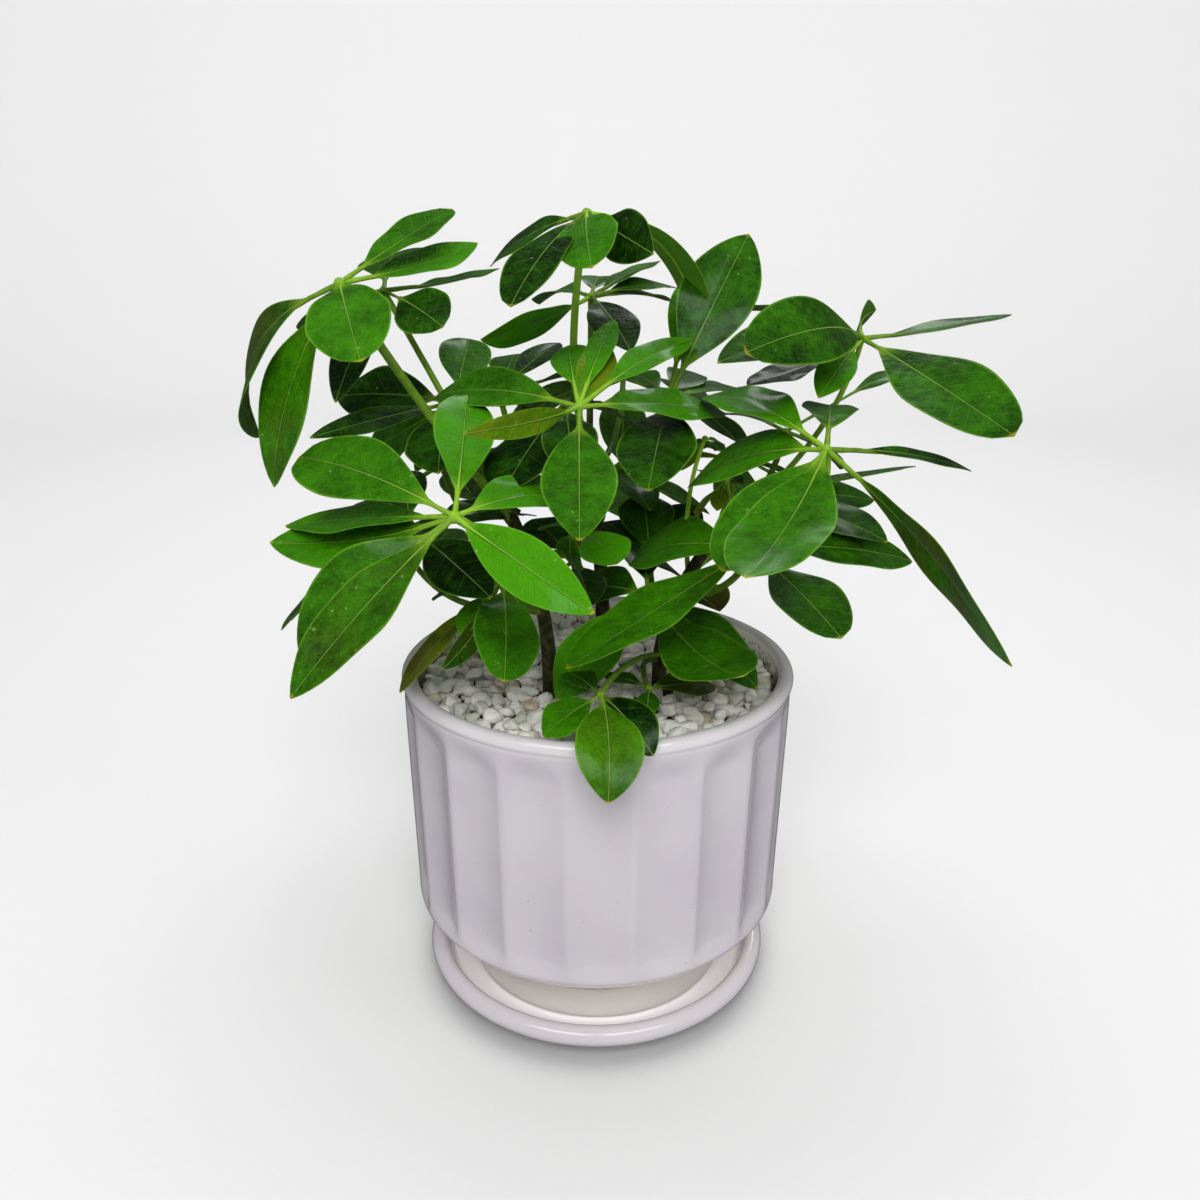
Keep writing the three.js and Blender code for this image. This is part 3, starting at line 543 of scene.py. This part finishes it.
# Heights and reaches from the axis in metres, between which the glaze or the paper changes.
LIP_HEIGHTS = (0.117, 0.1215)
BEAD_HEIGHTS = (0.014, 0.015)
RING_HEIGHTS = (0.0055, 0.0075)
WELL_REACHES = (0.047, 0.0485)
BORE_REACHES = (0.0648, 0.0652)
BORE_HEIGHTS = (0.08, 0.081)
UNDER_POT_HEIGHTS = (0.014, 0.016)
UNDER_POT_TOP = 0.0335
DIRT_HEIGHTS = (0.1175, 0.1225)
PAPER_SIDE_HEIGHTS = (0.02, 0.4)
PAPER_BACK_PLACES = (0.6, 1.4)
PAPER_SHADE_REACH = 0.03


class Nodes:
    """Short names for building a node material."""

    def __init__(self, name):
        self.material = bpy.data.materials.new(name)
        self.material.use_nodes = True
        self.tree = self.material.node_tree
        self.shader = self.tree.nodes["Principled BSDF"]

    def node(self, kind, **settings):
        node = self.tree.nodes.new(kind)
        for name, value in settings.items():
            setattr(node, name, value)
        return node

    def feed(self, socket, value):
        if isinstance(value, bpy.types.NodeSocket):
            self.tree.links.new(value, socket)
        else:
            socket.default_value = value

    def parts(self, kind, source):
        """The three numbers in a colour or a vector."""
        node = self.node(kind)
        self.tree.links.new(source, node.inputs[0])
        return node.outputs[:3]

    def tone(self):
        source = self.node("ShaderNodeAttribute", attribute_name="tone").outputs["Color"]
        return self.parts("ShaderNodeSeparateColor", source)

    def uv(self, name):
        source = self.node("ShaderNodeUVMap", uv_map=name).outputs["UV"]
        return self.parts("ShaderNodeSeparateXYZ", source)[:2]

    def place(self):
        return self.node("ShaderNodeTexCoord").outputs["Object"]

    def noise(self, scale, detail):
        node = self.node("ShaderNodeTexNoise")
        node.inputs["Scale"].default_value = scale
        node.inputs["Detail"].default_value = detail
        self.tree.links.new(self.place(), node.inputs["Vector"])
        return node.outputs["Fac"]

    def math(self, operation, first, second=0.0, third=0.0):
        node = self.node("ShaderNodeMath", operation=operation)
        for socket, value in zip(node.inputs, (first, second, third)):
            self.feed(socket, value)
        return node.outputs[0]

    def times(self, first, second):
        return self.math("MULTIPLY", first, second)

    def plus(self, first, second):
        return self.math("ADD", first, second)

    def line(self, value, slope, start):
        return self.math("MULTIPLY_ADD", value, slope, start)

    def swing(self, value, size):
        """A value from 0 to 1, scaled and spread evenly about 0."""
        return self.line(value, size, -size / 2)

    def ramp(self, factor, low, high):
        """0 up to low, 1 from high, smooth between."""
        node = self.node("ShaderNodeMapRange", interpolation_type="SMOOTHSTEP")
        node.inputs["From Min"].default_value = low
        node.inputs["From Max"].default_value = high
        self.feed(node.inputs["Value"], factor)
        return node.outputs["Result"]

    def fall(self, factor, low, high):
        """1 up to low, 0 from high, smooth between."""
        return self.math("SUBTRACT", 1.0, self.ramp(factor, low, high))

    def mix(self, factor, first, second):
        node = self.node("ShaderNodeMix", data_type="RGBA")
        sockets = (node.inputs[0], node.inputs[6], node.inputs[7])
        for socket, value in zip(sockets, (factor, first, second)):
            self.feed(socket, value)
        return node.outputs[2]

    def bump(self, height, strength, distance):
        node = self.node("ShaderNodeBump")
        node.inputs["Strength"].default_value = strength
        node.inputs["Distance"].default_value = distance
        self.feed(node.inputs["Height"], height)
        self.feed(self.shader.inputs["Normal"], node.outputs["Normal"])

    def set(self, **values):
        for name, value in values.items():
            self.feed(self.shader.inputs[name.replace("_", " ")], value)


def leaf_material(name, dark, bright, rib, roughness, coat):
    """A leaflet's skin: tone by leaflet, partly painted light and shade, midrib, faint side veins
    and a leathery surface.
    """
    n = Nodes(name)
    tone_and_light, olive_tone, blush_tone = n.tone()
    along_mm, across_mm = n.uv("blade_mm")
    along, across = n.uv("blade_share")
    reach = n.math("ABSOLUTE", across_mm)
    edge = n.math("ABSOLUTE", across)
    blotches = n.noise(75, 4)
    wrinkles = n.noise(330, 3)
    pits = n.noise(1300, 2)

    shade = n.plus(n.swing(blotches, 0.7), n.swing(pits, 0.5))
    # The leaflet's tone: its own green, and painted light and shade.
    shade = n.plus(n.plus(shade, n.swing(wrinkles, 0.5)), tone_and_light)
    colour = n.mix(n.ramp(shade, -0.15, 1.15), dark, bright)
    colour = n.mix(n.times(olive_tone, n.ramp(blotches, 0.2, 0.6)), colour, OLIVE)
    blush = n.times(blush_tone, n.ramp(n.noise(60, 3), 0.4, 0.6))
    colour = n.mix(blush, colour, BROWN_BLUSH)

    slope = n.line(reach, -VEIN_SLANT, along_mm)
    wave = n.math("SINE", n.times(slope, VEIN_PITCH))
    veins = n.times(n.ramp(wave, 0.93, 1.0), n.ramp(reach, 0.3, 1.6))
    veins = n.times(veins, n.fall(edge, 0.55, 0.9))
    midrib = n.fall(n.times(reach, n.line(along, 0.7, 0.3)), 0.08, 0.22)
    marks = [
        (veins, 0.05, rib),
        (midrib, 0.42, rib),
        (n.fall(along, 0.0, 0.16), 0.55, LEAF_FOOT),
        (n.ramp(edge, 0.92, 0.99), 0.3, LEAF_MARGIN),
        (n.ramp(along, 0.975, 0.995), 0.4, LEAF_TIP),
        (n.ramp(n.noise(480, 1), 0.74, 0.8), 0.3, LEAF_FRECKLE),
    ]
    for mark, strength, paint in marks:
        colour = n.mix(n.times(mark, strength), colour, paint)
    n.set(Base_Color=colour, Roughness=n.line(blotches, 0.2, roughness))
    n.set(Coat_Weight=coat, Coat_Roughness=0.16, Specular_IOR_Level=0.06)

    height = n.line(midrib, -0.9, n.times(veins, -0.15))
    for grain, rise in ((pits, 0.3), (wrinkles, 0.8), (blotches, 1.2)):
        height = n.line(grain, rise, height)
    n.bump(height, 1.0, 0.001)
    return n.material


def stalk_material():
    """Stems and leaf stalks: green or woody, with fine length marks."""
    n = Nodes("stalk_skin")
    tone_and_light, woody_tone, _ = n.tone()
    marks = n.noise(420, 3)
    # The stalk's brightness: partly painted light against the shade of the leaflets.
    shade = n.plus(tone_and_light, n.swing(marks, 0.4))
    green = n.mix(n.ramp(shade, 0.0, 1.0), *GREEN_STALK)
    bark = n.mix(n.ramp(marks, 0.35, 0.65), *BARK)
    n.set(Base_Color=n.mix(woody_tone, green, bark), Roughness=0.42, Specular_IOR_Level=0.2)
    n.bump(marks, 0.5, 0.0003)
    return n.material


def glaze_material():
    """White glaze with a mauve cast, cream where it pools in the saucer, soiled inside the pot.
    The lip and the low saucer are painted lighter where they catch the light; the saucer's ring
    and well, the pot's underside and its bore are painted lighter still, as painted light against
    shade.
    """
    n = Nodes("glaze")
    right, back, height = n.parts("ShaderNodeSeparateXYZ", n.place())
    reach = n.math("SQRT", n.plus(n.times(right, right), n.times(back, back)))
    cloud = n.noise(22, 3)
    body = n.mix(n.ramp(cloud, 0.35, 0.65), *GLAZE_BODY)
    # Painted light: the lip, and less strongly the low saucer, are painted lighter where they
    # catch the light.
    bead = n.times(n.fall(height, *BEAD_HEIGHTS), 0.4)
    lit_edges = n.math("MAXIMUM", n.ramp(height, *LIP_HEIGHTS), bead)
    skin = n.mix(lit_edges, body, GLAZE_LIT_EDGES)
    # The saucer's ring and well: cream where the glaze pools, and painted light against the shade
    # of the bead and the pot.
    pooled_and_lit = n.mix(n.fall(reach, *WELL_REACHES), GLAZE_RING_LIT, GLAZE_WELL_CREAM_LIT)
    skin = n.mix(n.fall(height, *RING_HEIGHTS), skin, pooled_and_lit)
    # Painted light: the pot's underside is painted near-white against the shade under the pot.
    below = n.math("LESS_THAN", height, UNDER_POT_TOP)
    skin = n.mix(n.times(n.ramp(height, *UNDER_POT_HEIGHTS), below), skin, GLAZE_UNDER_POT_LIT)
    # The bore: its beige tint, and painted light against the shade of the leaves over it.
    inside = n.times(n.fall(reach, *BORE_REACHES), n.ramp(height, *BORE_HEIGHTS))
    skin = n.mix(inside, skin, GLAZE_BORE_TINT_AND_LIGHT)
    soiled = n.times(inside, n.ramp(n.noise(640, 4), 0.56, 0.62))
    soiled = n.times(soiled, n.fall(height, *DIRT_HEIGHTS))
    skin = n.mix(soiled, skin, INNER_DIRT)
    specks = n.times(n.ramp(n.noise(520, 1), 0.77, 0.8), 0.3)
    n.set(Base_Color=n.mix(specks, skin, GLAZE_SPECK), Roughness=n.line(cloud, 0.1, 0.16))
    n.set(Coat_Weight=1.0, Coat_Roughness=0.04, Specular_IOR_Level=0.2)
    n.bump(n.noise(90, 3), 0.2, 0.0006)
    return n.material


def pebble_material():
    """White quartz: milky, some grey-green, a few beige, with dull pits and dust."""
    n = Nodes("pebble_quartz")
    grey_tone, beige_tone, dirt_tone = n.tone()
    cloud = n.noise(260, 4)
    milk = n.mix(n.ramp(cloud, 0.3, 0.7), *QUARTZ)
    tinted = n.mix(grey_tone, milk, GREY_QUARTZ)
    beige = n.mix(beige_tone, tinted, BEIGE_QUARTZ)
    dust = n.plus(n.times(n.ramp(n.noise(620, 3), 0.58, 0.7), 0.35), dirt_tone)
    n.set(Base_Color=n.mix(dust, beige, DUST))
    n.set(Roughness=n.line(cloud, 0.35, 0.2), Specular_IOR_Level=0.5)
    n.set(Subsurface_Weight=0.03, Subsurface_Radius=(0.003, 0.003, 0.0026), Subsurface_Scale=0.5)
    n.bump(n.noise(800, 4), 0.6, 0.0005)
    return n.material


def soil_material():
    n = Nodes("potting_soil")
    crumbs = n.noise(500, 6)
    n.set(Base_Color=n.mix(crumbs, *SOIL), Roughness=0.95)
    n.bump(crumbs, 1.0, 0.001)
    return n.material


def backdrop_material():
    """Studio paper: pale, a little darker up the front and sides, shaded close to the saucer."""
    n = Nodes("studio_paper")
    _, back, up = n.parts("ShaderNodeSeparateXYZ", n.place())
    grain = n.noise(400, 3)
    nearness = n.node("ShaderNodeAmbientOcclusion", samples=8)
    nearness.inputs["Distance"].default_value = PAPER_SHADE_REACH
    clear = n.ramp(nearness.outputs["AO"], 0.3, 0.95)
    shaded = n.mix(clear, PAPER_SHADE, n.mix(grain, *PAPER))
    sides = n.times(n.ramp(up, *PAPER_SIDE_HEIGHTS), n.fall(back, *PAPER_BACK_PLACES))
    n.set(Base_Color=n.mix(sides, shaded, PAPER_SIDES), Roughness=0.95)
    n.set(Specular_IOR_Level=0.2)
    n.bump(grain, 0.05, 0.0002)
    return n.material


# ---------------------------------------------------------------- plant

def blade_share(along, blunt):
    """How wide a blade is at a share of its length, from 0 to 1."""
    belly = BLUNT_BELLY if blunt else BLADE_BELLY
    if along < belly:
        return math.sin(math.pi / 2 * along / belly) ** 1.1
    narrowing = max(math.cos(math.pi / 2 * (along - belly) / (1 - belly)), 0.0)
    return narrowing ** (0.5 if blunt else 0.75)


class Arc:
    """A leaflet's centre line: it leaves the base outward and droops evenly to the tip."""

    def __init__(self, base, outward, normal, length, bent):
        self.base, self.outward, self.normal = base, outward, normal
        self.length, self.bent = length, bent

    def at(self, along):
        """Centre and upward direction at a share of the length."""
        angle = self.bent * along
        size = self.length / self.bent
        centre = self.base + self.outward * (math.sin(angle) * size)
        centre -= self.normal * ((1 - math.cos(angle)) * size)
        return centre, self.normal * math.cos(angle) + self.outward * math.sin(angle)


def blade(build, arc, sideways, width, blunt, tone, draw):
    """A thin folded and slightly wavy blade with a top, an underside and an edge."""
    fold = math.radians(6 + 6 * draw())
    waves = 1.2 + 1.0 * draw()
    phase = 2 * math.pi * draw()
    right_half_lag = 1.3
    count = BLADE_COLUMNS + 1
    top, bottom, places = [], [], []
    for row in range(BLADE_ROWS + 1):
        along = row / BLADE_ROWS
        centre, lifted = arc.at(along)
        narrowest = BLADE_TIP_HALF if row == BLADE_ROWS else STALK_RADIUS
        half = max(width / 2 * blade_share(along, blunt), narrowest)
        for column in range(count):
            across = column / BLADE_COLUMNS * 2 - 1
            reach = across * half
            lag = right_half_lag if across > 0 else 0
            wave = math.sin(2 * math.pi * waves * along + phase + lag)
            lift = abs(reach) * math.sin(fold) * (1 - 0.35 * abs(across))
            lift += BLADE_RIPPLE * width * wave * across * across * math.sin(math.pi * along)
            point = centre - sideways * (reach * math.cos(fold)) + lifted * lift
            thick = BLADE_THICKNESS * (1 - 0.6 * abs(across)) / 2
            top.append(point + lifted * thick)
            bottom.append(point - lifted * thick)
            places.append((along * arc.length, reach, along, across))
    top_faces, bottom_faces = [], []
    for row in range(BLADE_ROWS):
        for column in range(BLADE_COLUMNS):
            a = row * count + column
            b, c, d = a + 1, a + 1 + count, a + count
            top_faces.append((a, b, c, d))
            bottom_faces.append((d, c, b, a))
    build.add(top, top_faces, LEAF_TOP, tone, places)
    build.add(bottom, bottom_faces, LEAF_UNDER, tone, places)

    edge = [row * count for row in range(BLADE_ROWS + 1)]
    edge += [BLADE_ROWS * count + column for column in range(1, count)]
    edge += [row * count + BLADE_COLUMNS for row in range(BLADE_ROWS - 1, -1, -1)]
    edge += list(range(BLADE_COLUMNS - 1, 0, -1))
    rim = [top[i] for i in edge] + [bottom[i] for i in edge]
    faces = []
    for i in range(len(edge)):
        j = (i + 1) % len(edge)
        faces.append((i, j, len(edge) + j, len(edge) + i))
    build.add(rim, faces, LEAF_UNDER, tone, [places[i] for i in edge] * 2)


def leaflet(build, name, hub, facing, growth, draw):
    """A blade on its stalk, which runs on under the blade as a raised rib."""
    turn, rise, stalk, length, width, droop, roll, bright = growth
    key = (name, turn)
    tone = (bright, OLIVE_LEAFLETS.get(key, 0.0), BLUSH_LEAFLETS.get(key, 0.0))
    turned = UP.rotation_difference(facing)
    turn, rise, roll = math.radians(turn), math.radians(rise), math.radians(roll)
    outward = turned @ Vector((math.cos(turn), math.sin(turn), 0)) * math.cos(rise)
    outward += facing * math.sin(rise)
    normal = (facing - outward * facing.dot(outward)).normalized()
    normal = Quaternion(outward, roll) @ normal
    arc = Arc(hub + outward * stalk, outward, normal, length, math.radians(droop or 1))
    blade(build, arc, outward.cross(normal), width, key in BLUNT_LEAFLETS, tone, draw)

    path = [hub + outward * (stalk * i / 4) for i in range(5)]
    for i in range(1, 10):
        centre, lifted = arc.at(i / 10)
        path.append(centre - lifted * RIB_BELOW_BLADE)
    size = STALK_RADIUS * min(1.0, length / FULL_STALK_LENGTH)
    radii = [size * 1.15] * 3 + [size] * 2 + [size * (0.85 - 0.08 * i) for i in range(9)]
    rod(build, path, radii, 8, (0.3 + 0.65 * bright, 0.0, 0.0))


def stem_corners(foot, top):
    start = Vector((*foot, STEM_STRAIGHT_TO))
    middle = Vector((*foot, (STEM_STRAIGHT_TO + top[2]) / 2))
    return start, middle, Vector(top)


def whorl(build, spec, draw):
    """A petiole that leaves its stem, the knob at its end and the leaflets round it."""
    name, stem_name, leaves_at, bend, hub, facing, leaflets = spec
    foot, top, _ = STEMS[stem_name]
    hub, facing = Vector(hub), Vector(facing).normalized()
    start = bezier(stem_corners(foot, top), leaves_at)
    middle = Vector(bend) if bend else hub - facing * (0.5 * (hub - start).length)
    low, high, pale_and_lit = PETIOLES.get(name, PETIOLE_LOOK)
    shares = [i / PETIOLE_STEPS for i in range(PETIOLE_STEPS + 1)]
    path = [bezier((start, middle, hub), share) for share in shares]
    rod(build, path, [low + (high - low) * share for share in shares], 12, (pale_and_lit, 0.0, 0.0))
    bright = sum(growth[-1] for growth in leaflets) / len(leaflets)
    points, faces = ball(high + KNOB_PROUD)
    build.add([hub + point for point in points], faces, STALK, (0.45 + 0.5 * bright, 0.0, 0.0))
    for growth in leaflets:
        leaflet(build, name, hub, facing, growth, draw)


def stem(build, foot, top, radius):
    """A woody stem: straight through the soil and gravel, then bent, tapered and uneven."""
    corners = stem_corners(foot, top)
    path = [Vector((*foot, z)) for z in range(STEM_FOOT_HEIGHT, STEM_STRAIGHT_TO, STEM_STEP)]
    path += [bezier(corners, i / STEM_BENT_STEPS) for i in range(STEM_BENT_STEPS + 1)]
    radii = []
    for centre in path:
        share = max(0.0, (centre.z - STEM_STRAIGHT_TO) / (top[2] - STEM_STRAIGHT_TO))
        swell = STEM_SWELL * noise.noise(centre * 0.15)
        radii.append(radius * (1 - STEM_TAPER * share + swell))
    rod(build, path, radii, 16, STEM_TONE)


def plant():
    """Each stem with all that grows on it is one piece."""
    specs = WHORLS + [back_whorl(order, *spec) for order, spec in enumerate(BACK_WHORLS)]
    skins = [
        leaf_material("leaf_top", srgb(4, 20, 3), srgb(64, 137, 4), srgb(150, 192, 84), 0.3, 0.22),
        leaf_material("leaf_under", srgb(30, 60, 20), srgb(90, 146, 36), srgb(140, 172, 96),
                      0.5, 0.0),
        stalk_material(),
    ]
    for name, (foot, top, radius) in STEMS.items():
        build = Build()
        draw = random_from(PLANT_SEED)
        stem(build, foot, top, radius)
        for spec in specs:
            if spec[1] == name:
                whorl(build, spec, draw)
        build.object("leafy_" + name, skins, name)


# ---------------------------------------------------------------- pot and saucer

def smooth(share):
    share = min(max(share, 0.0), 1.0)
    return share * share * (3 - 2 * share)


def arc_points(centre, radius, start, end, steps):
    """Points of a round stretch of a section: radius and height."""
    points = []
    for i in range(steps + 1):
        angle = math.radians(start + (end - start) * i / steps)
        points.append((centre[0] + radius * math.cos(angle), centre[1] + radius * math.sin(angle)))
    return points


def straight_points(corners):
    """Points of straight stretches of a section, from corners with their steps from the last."""
    points = [corners[0][:2]]
    for (radius, height, _), (next_radius, next_height, steps) in zip(corners, corners[1:]):
        for i in range(1, steps + 1):
            points.append((radius + (next_radius - radius) * i / steps,
                           height + (next_height - height) * i / steps))
    return points


def flute_depth(across, height):
    """Depth of a flute: it ends in an arch under the lip and runs out at the turned-under edge."""
    arch = FLUTE_TOP - FLUTE_ARCH * across * across
    end = smooth((arch - height) / FLUTE_TOP_FADE)
    foot = smooth((height - FLUTE_FOOT) / FLUTE_FOOT_FADE)
    return FLUTE_DEPTH * (1 - across * across) * end * foot


def pot(glaze):
    outer = (POT_RADIUS - LIP_ROUNDING, POT_TOP - LIP_ROUNDING)
    inner = (BORE_RADIUS + BORE_ROUNDING, POT_TOP - BORE_ROUNDING)
    lip = arc_points(outer, LIP_ROUNDING, -25, 90, 14)
    lip += arc_points(inner, BORE_ROUNDING, 90, 180, 10)
    profile = straight_points(POT_WALL) + lip + POT_INSIDE + POT_UNDERSIDE
    columns = FLUTES * COLUMNS_PER_FLUTE
    points = []
    for radius, height in profile:
        for column in range(columns):
            across = column % COLUMNS_PER_FLUTE / COLUMNS_PER_FLUTE * 2 - 1
            reach = radius
            if radius > OUTER_WALL_FROM:
                reach -= flute_depth(across, height)
            angle = math.radians(FLUTE_TURN - 90) + 2 * math.pi * column / columns
            points.append(Vector((math.cos(angle) * reach, math.sin(angle) * reach, height)))
    build = Build()
    build.add(points, ring_faces(len(profile), columns, looped=True), 0, PLAIN_TONE)
    build.object("pot_glazed", [glaze], "pot")


def saucer(glaze):
    bead = arc_points(SAUCER_BEAD_MIDDLE, SAUCER_BEAD_SIZE, -75, 200, 26)
    profile = SAUCER_UNDERSIDE + bead + SAUCER_RING + SAUCER_RIDGE + SAUCER_WELL
    points = ring_points(profile, SAUCER_SIDES)
    build = Build()
    build.add(points, ring_faces(len(profile), SAUCER_SIDES), 0, PLAIN_TONE)
    build.object("saucer_glazed", [glaze], "saucer")


# ---------------------------------------------------------------- pebbles

def pebble_shapes(rng):
    """Rounded stones with a few worn flats, about one unit across their half."""
    shapes = []
    for _ in range(PEBBLE_SHAPES):
        flats = []
        for _ in range(PEBBLE_FLATS):
            way = Vector((rng.uniform(-1, 1), rng.uniform(-1, 1), rng.uniform(-1, 1)))
            flats.append((way.normalized(), rng.uniform(0.5, 0.8)))
        shift = Vector((rng.uniform(0, 50), rng.uniform(0, 50), rng.uniform(0, 50)))
        round_points, faces = ball(1.0)
        points = []
        for point in round_points:
            point = point.normalized()
            point *= 1 + 0.16 * noise.noise(point * 1.3 + shift)
            for way, reach in flats:
                over = point.dot(way) - reach
                if over > 0:
                    point -= way * over * 0.85
            points.append(point)
        shapes.append((points, faces))
    return shapes


def pebble_places(rng):
    """Middle and half size of each pebble: a bed, a loose top layer and a row along the wall."""
    places = []
    for spacing, height, spread in PEBBLE_LAYERS:
        pitch = spacing * PEBBLE_ROW_PITCH
        shift = PEBBLE_SHIFT * spacing
        rows = int(2 * GRAVEL_REACH / pitch) + 2
        for row in range(-rows // 2, rows // 2 + 1):
            for step in range(-rows // 2, rows // 2 + 1):
                x = (step + 0.5 * (row % 2)) * spacing + rng.uniform(-shift, shift)
                y = row * pitch + rng.uniform(-shift, shift)
                z = height + rng.uniform(-spread, spread)
                places.append((x, y, z, rng.uniform(*PEBBLE_HALF_SIZES)))
    for height in WALL_ROW_HEIGHTS:
        angle = 0.0
        while angle < 2 * math.pi:
            size = rng.uniform(*WALL_PEBBLE_HALF_SIZES)
            reach = GRAVEL_REACH - size - 0.1
            places.append((math.cos(angle) * reach, math.sin(angle) * reach, height, size))
            angle += 2.1 * size / reach
    return places


def pebbles(material):
    """Loose pebbles, each a stone shape turned, flattened and laid down, clear of the stems."""
    rng = random.Random(PEBBLE_SEED)
    shapes = pebble_shapes(rng)
    build = Build()
    for x, y, height, size in pebble_places(rng):
        points, faces = rng.choice(shapes)
        turn = Quaternion([rng.gauss(0, 1) for _ in range(4)]).normalized()
        lean = Quaternion((1, 0, 0), rng.gauss(0, 0.35))
        tilt = lean @ Quaternion(UP, rng.uniform(0, 6.28))
        flat = Matrix.Diagonal((1.0, rng.uniform(0.66, 0.95), rng.uniform(0.5, 0.75)))
        grey = max(0.0, rng.gauss(0.1, 0.35))
        beige = max(0.0, rng.gauss(-0.4, 0.4))
        dirt = max(0.0, rng.gauss(-0.2, 0.2))
        if math.hypot(x, y) > GRAVEL_REACH - size:
            continue
        near = min(math.hypot(x - foot[0], y - foot[1]) for foot, _, _ in STEMS.values())
        if near < size + STEM_CLEARANCE:
            continue
        centre = Vector((x, y, height))
        moved = [centre + tilt @ (flat @ (turn @ point)) * size for point in points]
        build.add(moved, faces, 0, (grey, beige, dirt))
    build.object("pebble_layer", [material], "gravel")


# ---------------------------------------------------------------- stage, light and camera

# Metres and watts from here on.
STAGE_FLAT = 1.4
STAGE_CURVE = 0.8
STAGE_TOP = 1.3
STAGE_SIDES = 96
WORLD_LIGHT = 0.08

# Lights: name, what they do, place, what they point at, size across and along, power.
LIGHTS = [
    ("key", "lit", (0, -1.0, 1.0), (0, 0, 0.1), (0.7, 0.7), 16),
    ("left", "lit", (-1.2, -0.5, 0.6), (0, 0, 0.1), (0.9, 0.9), 2),
    ("right", "lit", (1.2, -0.5, 0.6), (0, 0, 0.1), (0.9, 0.9), 3.5),
    ("top", "lit", (0, 0.2, 1.5), (0, 0, 0), (1.0, 1.0), 2),
    ("box_left", "gloss", (-0.42, -0.8, 1.15), (0, 0, 0.1), (0.74, 0.4), 4.5),
    ("box_right", "gloss", (0.42, -0.8, 1.15), (0, 0, 0.1), (0.74, 0.4), 4.5),
    ("box_back", "gloss", (0.3, 1.2, 1.05), (0, 0, 0.2), (0.6, 0.25), 2.5),
    ("wall", "lit", (0, 0.9, 1.9), (0, 2.1, 0.3), (2.6, 2.0), 39),
]

CAMERA_PLACE = (-0.00006, -0.33661, 0.26389)
CAMERA_PAN = 0.138
CAMERA_TILT = 19.334
CAMERA_ROLL = 0.284
CAMERA_FOCUS = 1004.3  # pixels of the 1200 pixel frame
FRAME_WIDTH = 1200
SENSOR_WIDTH = 36


def backdrop():
    """A pale studio floor that curves up all round."""
    profile = [(0.001, 0), (STAGE_FLAT, 0)]
    for degrees in range(6, 91, 6):
        angle = math.radians(degrees)
        profile.append((STAGE_FLAT + STAGE_CURVE * math.sin(angle),
                        STAGE_CURVE - STAGE_CURVE * math.cos(angle)))
    profile.append((STAGE_FLAT + STAGE_CURVE, STAGE_TOP))
    faces = ring_faces(len(profile), STAGE_SIDES, capped=False)
    faces = [tuple(reversed(face)) for face in faces]
    mesh = bpy.data.meshes.new("studio_floor")
    mesh.from_pydata(ring_points(profile, STAGE_SIDES), [], faces)
    mesh.polygons.foreach_set("use_smooth", [True] * len(faces))
    mesh.materials.append(backdrop_material())
    floor = bpy.data.objects.new("studio_floor", mesh)
    bpy.context.scene.collection.objects.link(floor)
    floor.visible_glossy = False


def lights():
    """Soft lights that light the skins without a reflection, and boxes that only show in gloss."""
    for name, kind, place, target, size, power in LIGHTS:
        light = bpy.data.lights.new(name, "AREA")
        light.shape = "RECTANGLE"
        light.size, light.size_y = size
        light.energy = power
        lamp = bpy.data.objects.new(name, light)
        lamp.location = place
        aim = Vector(target) - Vector(place)
        lamp.rotation_euler = aim.to_track_quat("-Z", "Y").to_euler()
        lamp.visible_diffuse = kind == "lit"
        lamp.visible_glossy = kind == "gloss"
        bpy.context.scene.collection.objects.link(lamp)
    world = bpy.data.worlds.new("studio")
    world.use_nodes = True
    world.node_tree.nodes["Background"].inputs["Color"].default_value = (1, 1, 1, 1)
    world.node_tree.nodes["Background"].inputs["Strength"].default_value = WORLD_LIGHT
    bpy.context.scene.world = world
    bpy.context.scene.view_settings.view_transform = "Standard"


def camera():
    """The photograph's camera."""
    pan, tilt, roll = (math.radians(a) for a in (CAMERA_PAN, CAMERA_TILT, CAMERA_ROLL))
    ahead = Vector((math.sin(pan) * math.cos(tilt), math.cos(pan) * math.cos(tilt),
                    -math.sin(tilt)))
    right = Vector((math.cos(pan), -math.sin(pan), 0))
    above = right.cross(ahead)
    right, above = (right * math.cos(roll) + above * math.sin(roll),
                    above * math.cos(roll) - right * math.sin(roll))
    data = bpy.data.cameras.new("camera")
    data.sensor_width = SENSOR_WIDTH
    data.lens = SENSOR_WIDTH * CAMERA_FOCUS / FRAME_WIDTH
    data.clip_start = 0.01
    eye = bpy.data.objects.new("camera", data)
    eye.matrix_world = Matrix((
        (right.x, above.x, -ahead.x, CAMERA_PLACE[0]),
        (right.y, above.y, -ahead.y, CAMERA_PLACE[1]),
        (right.z, above.z, -ahead.z, CAMERA_PLACE[2]),
        (0, 0, 0, 1),
    ))
    bpy.context.scene.collection.objects.link(eye)
    bpy.context.scene.camera = eye


camera()
lights()
backdrop()
glaze = glaze_material()
pot(glaze)
saucer(glaze)
pebbles(pebble_material())
plant()
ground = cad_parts["soil"]
ground.data.materials.clear()
ground.data.materials.append(soil_material())
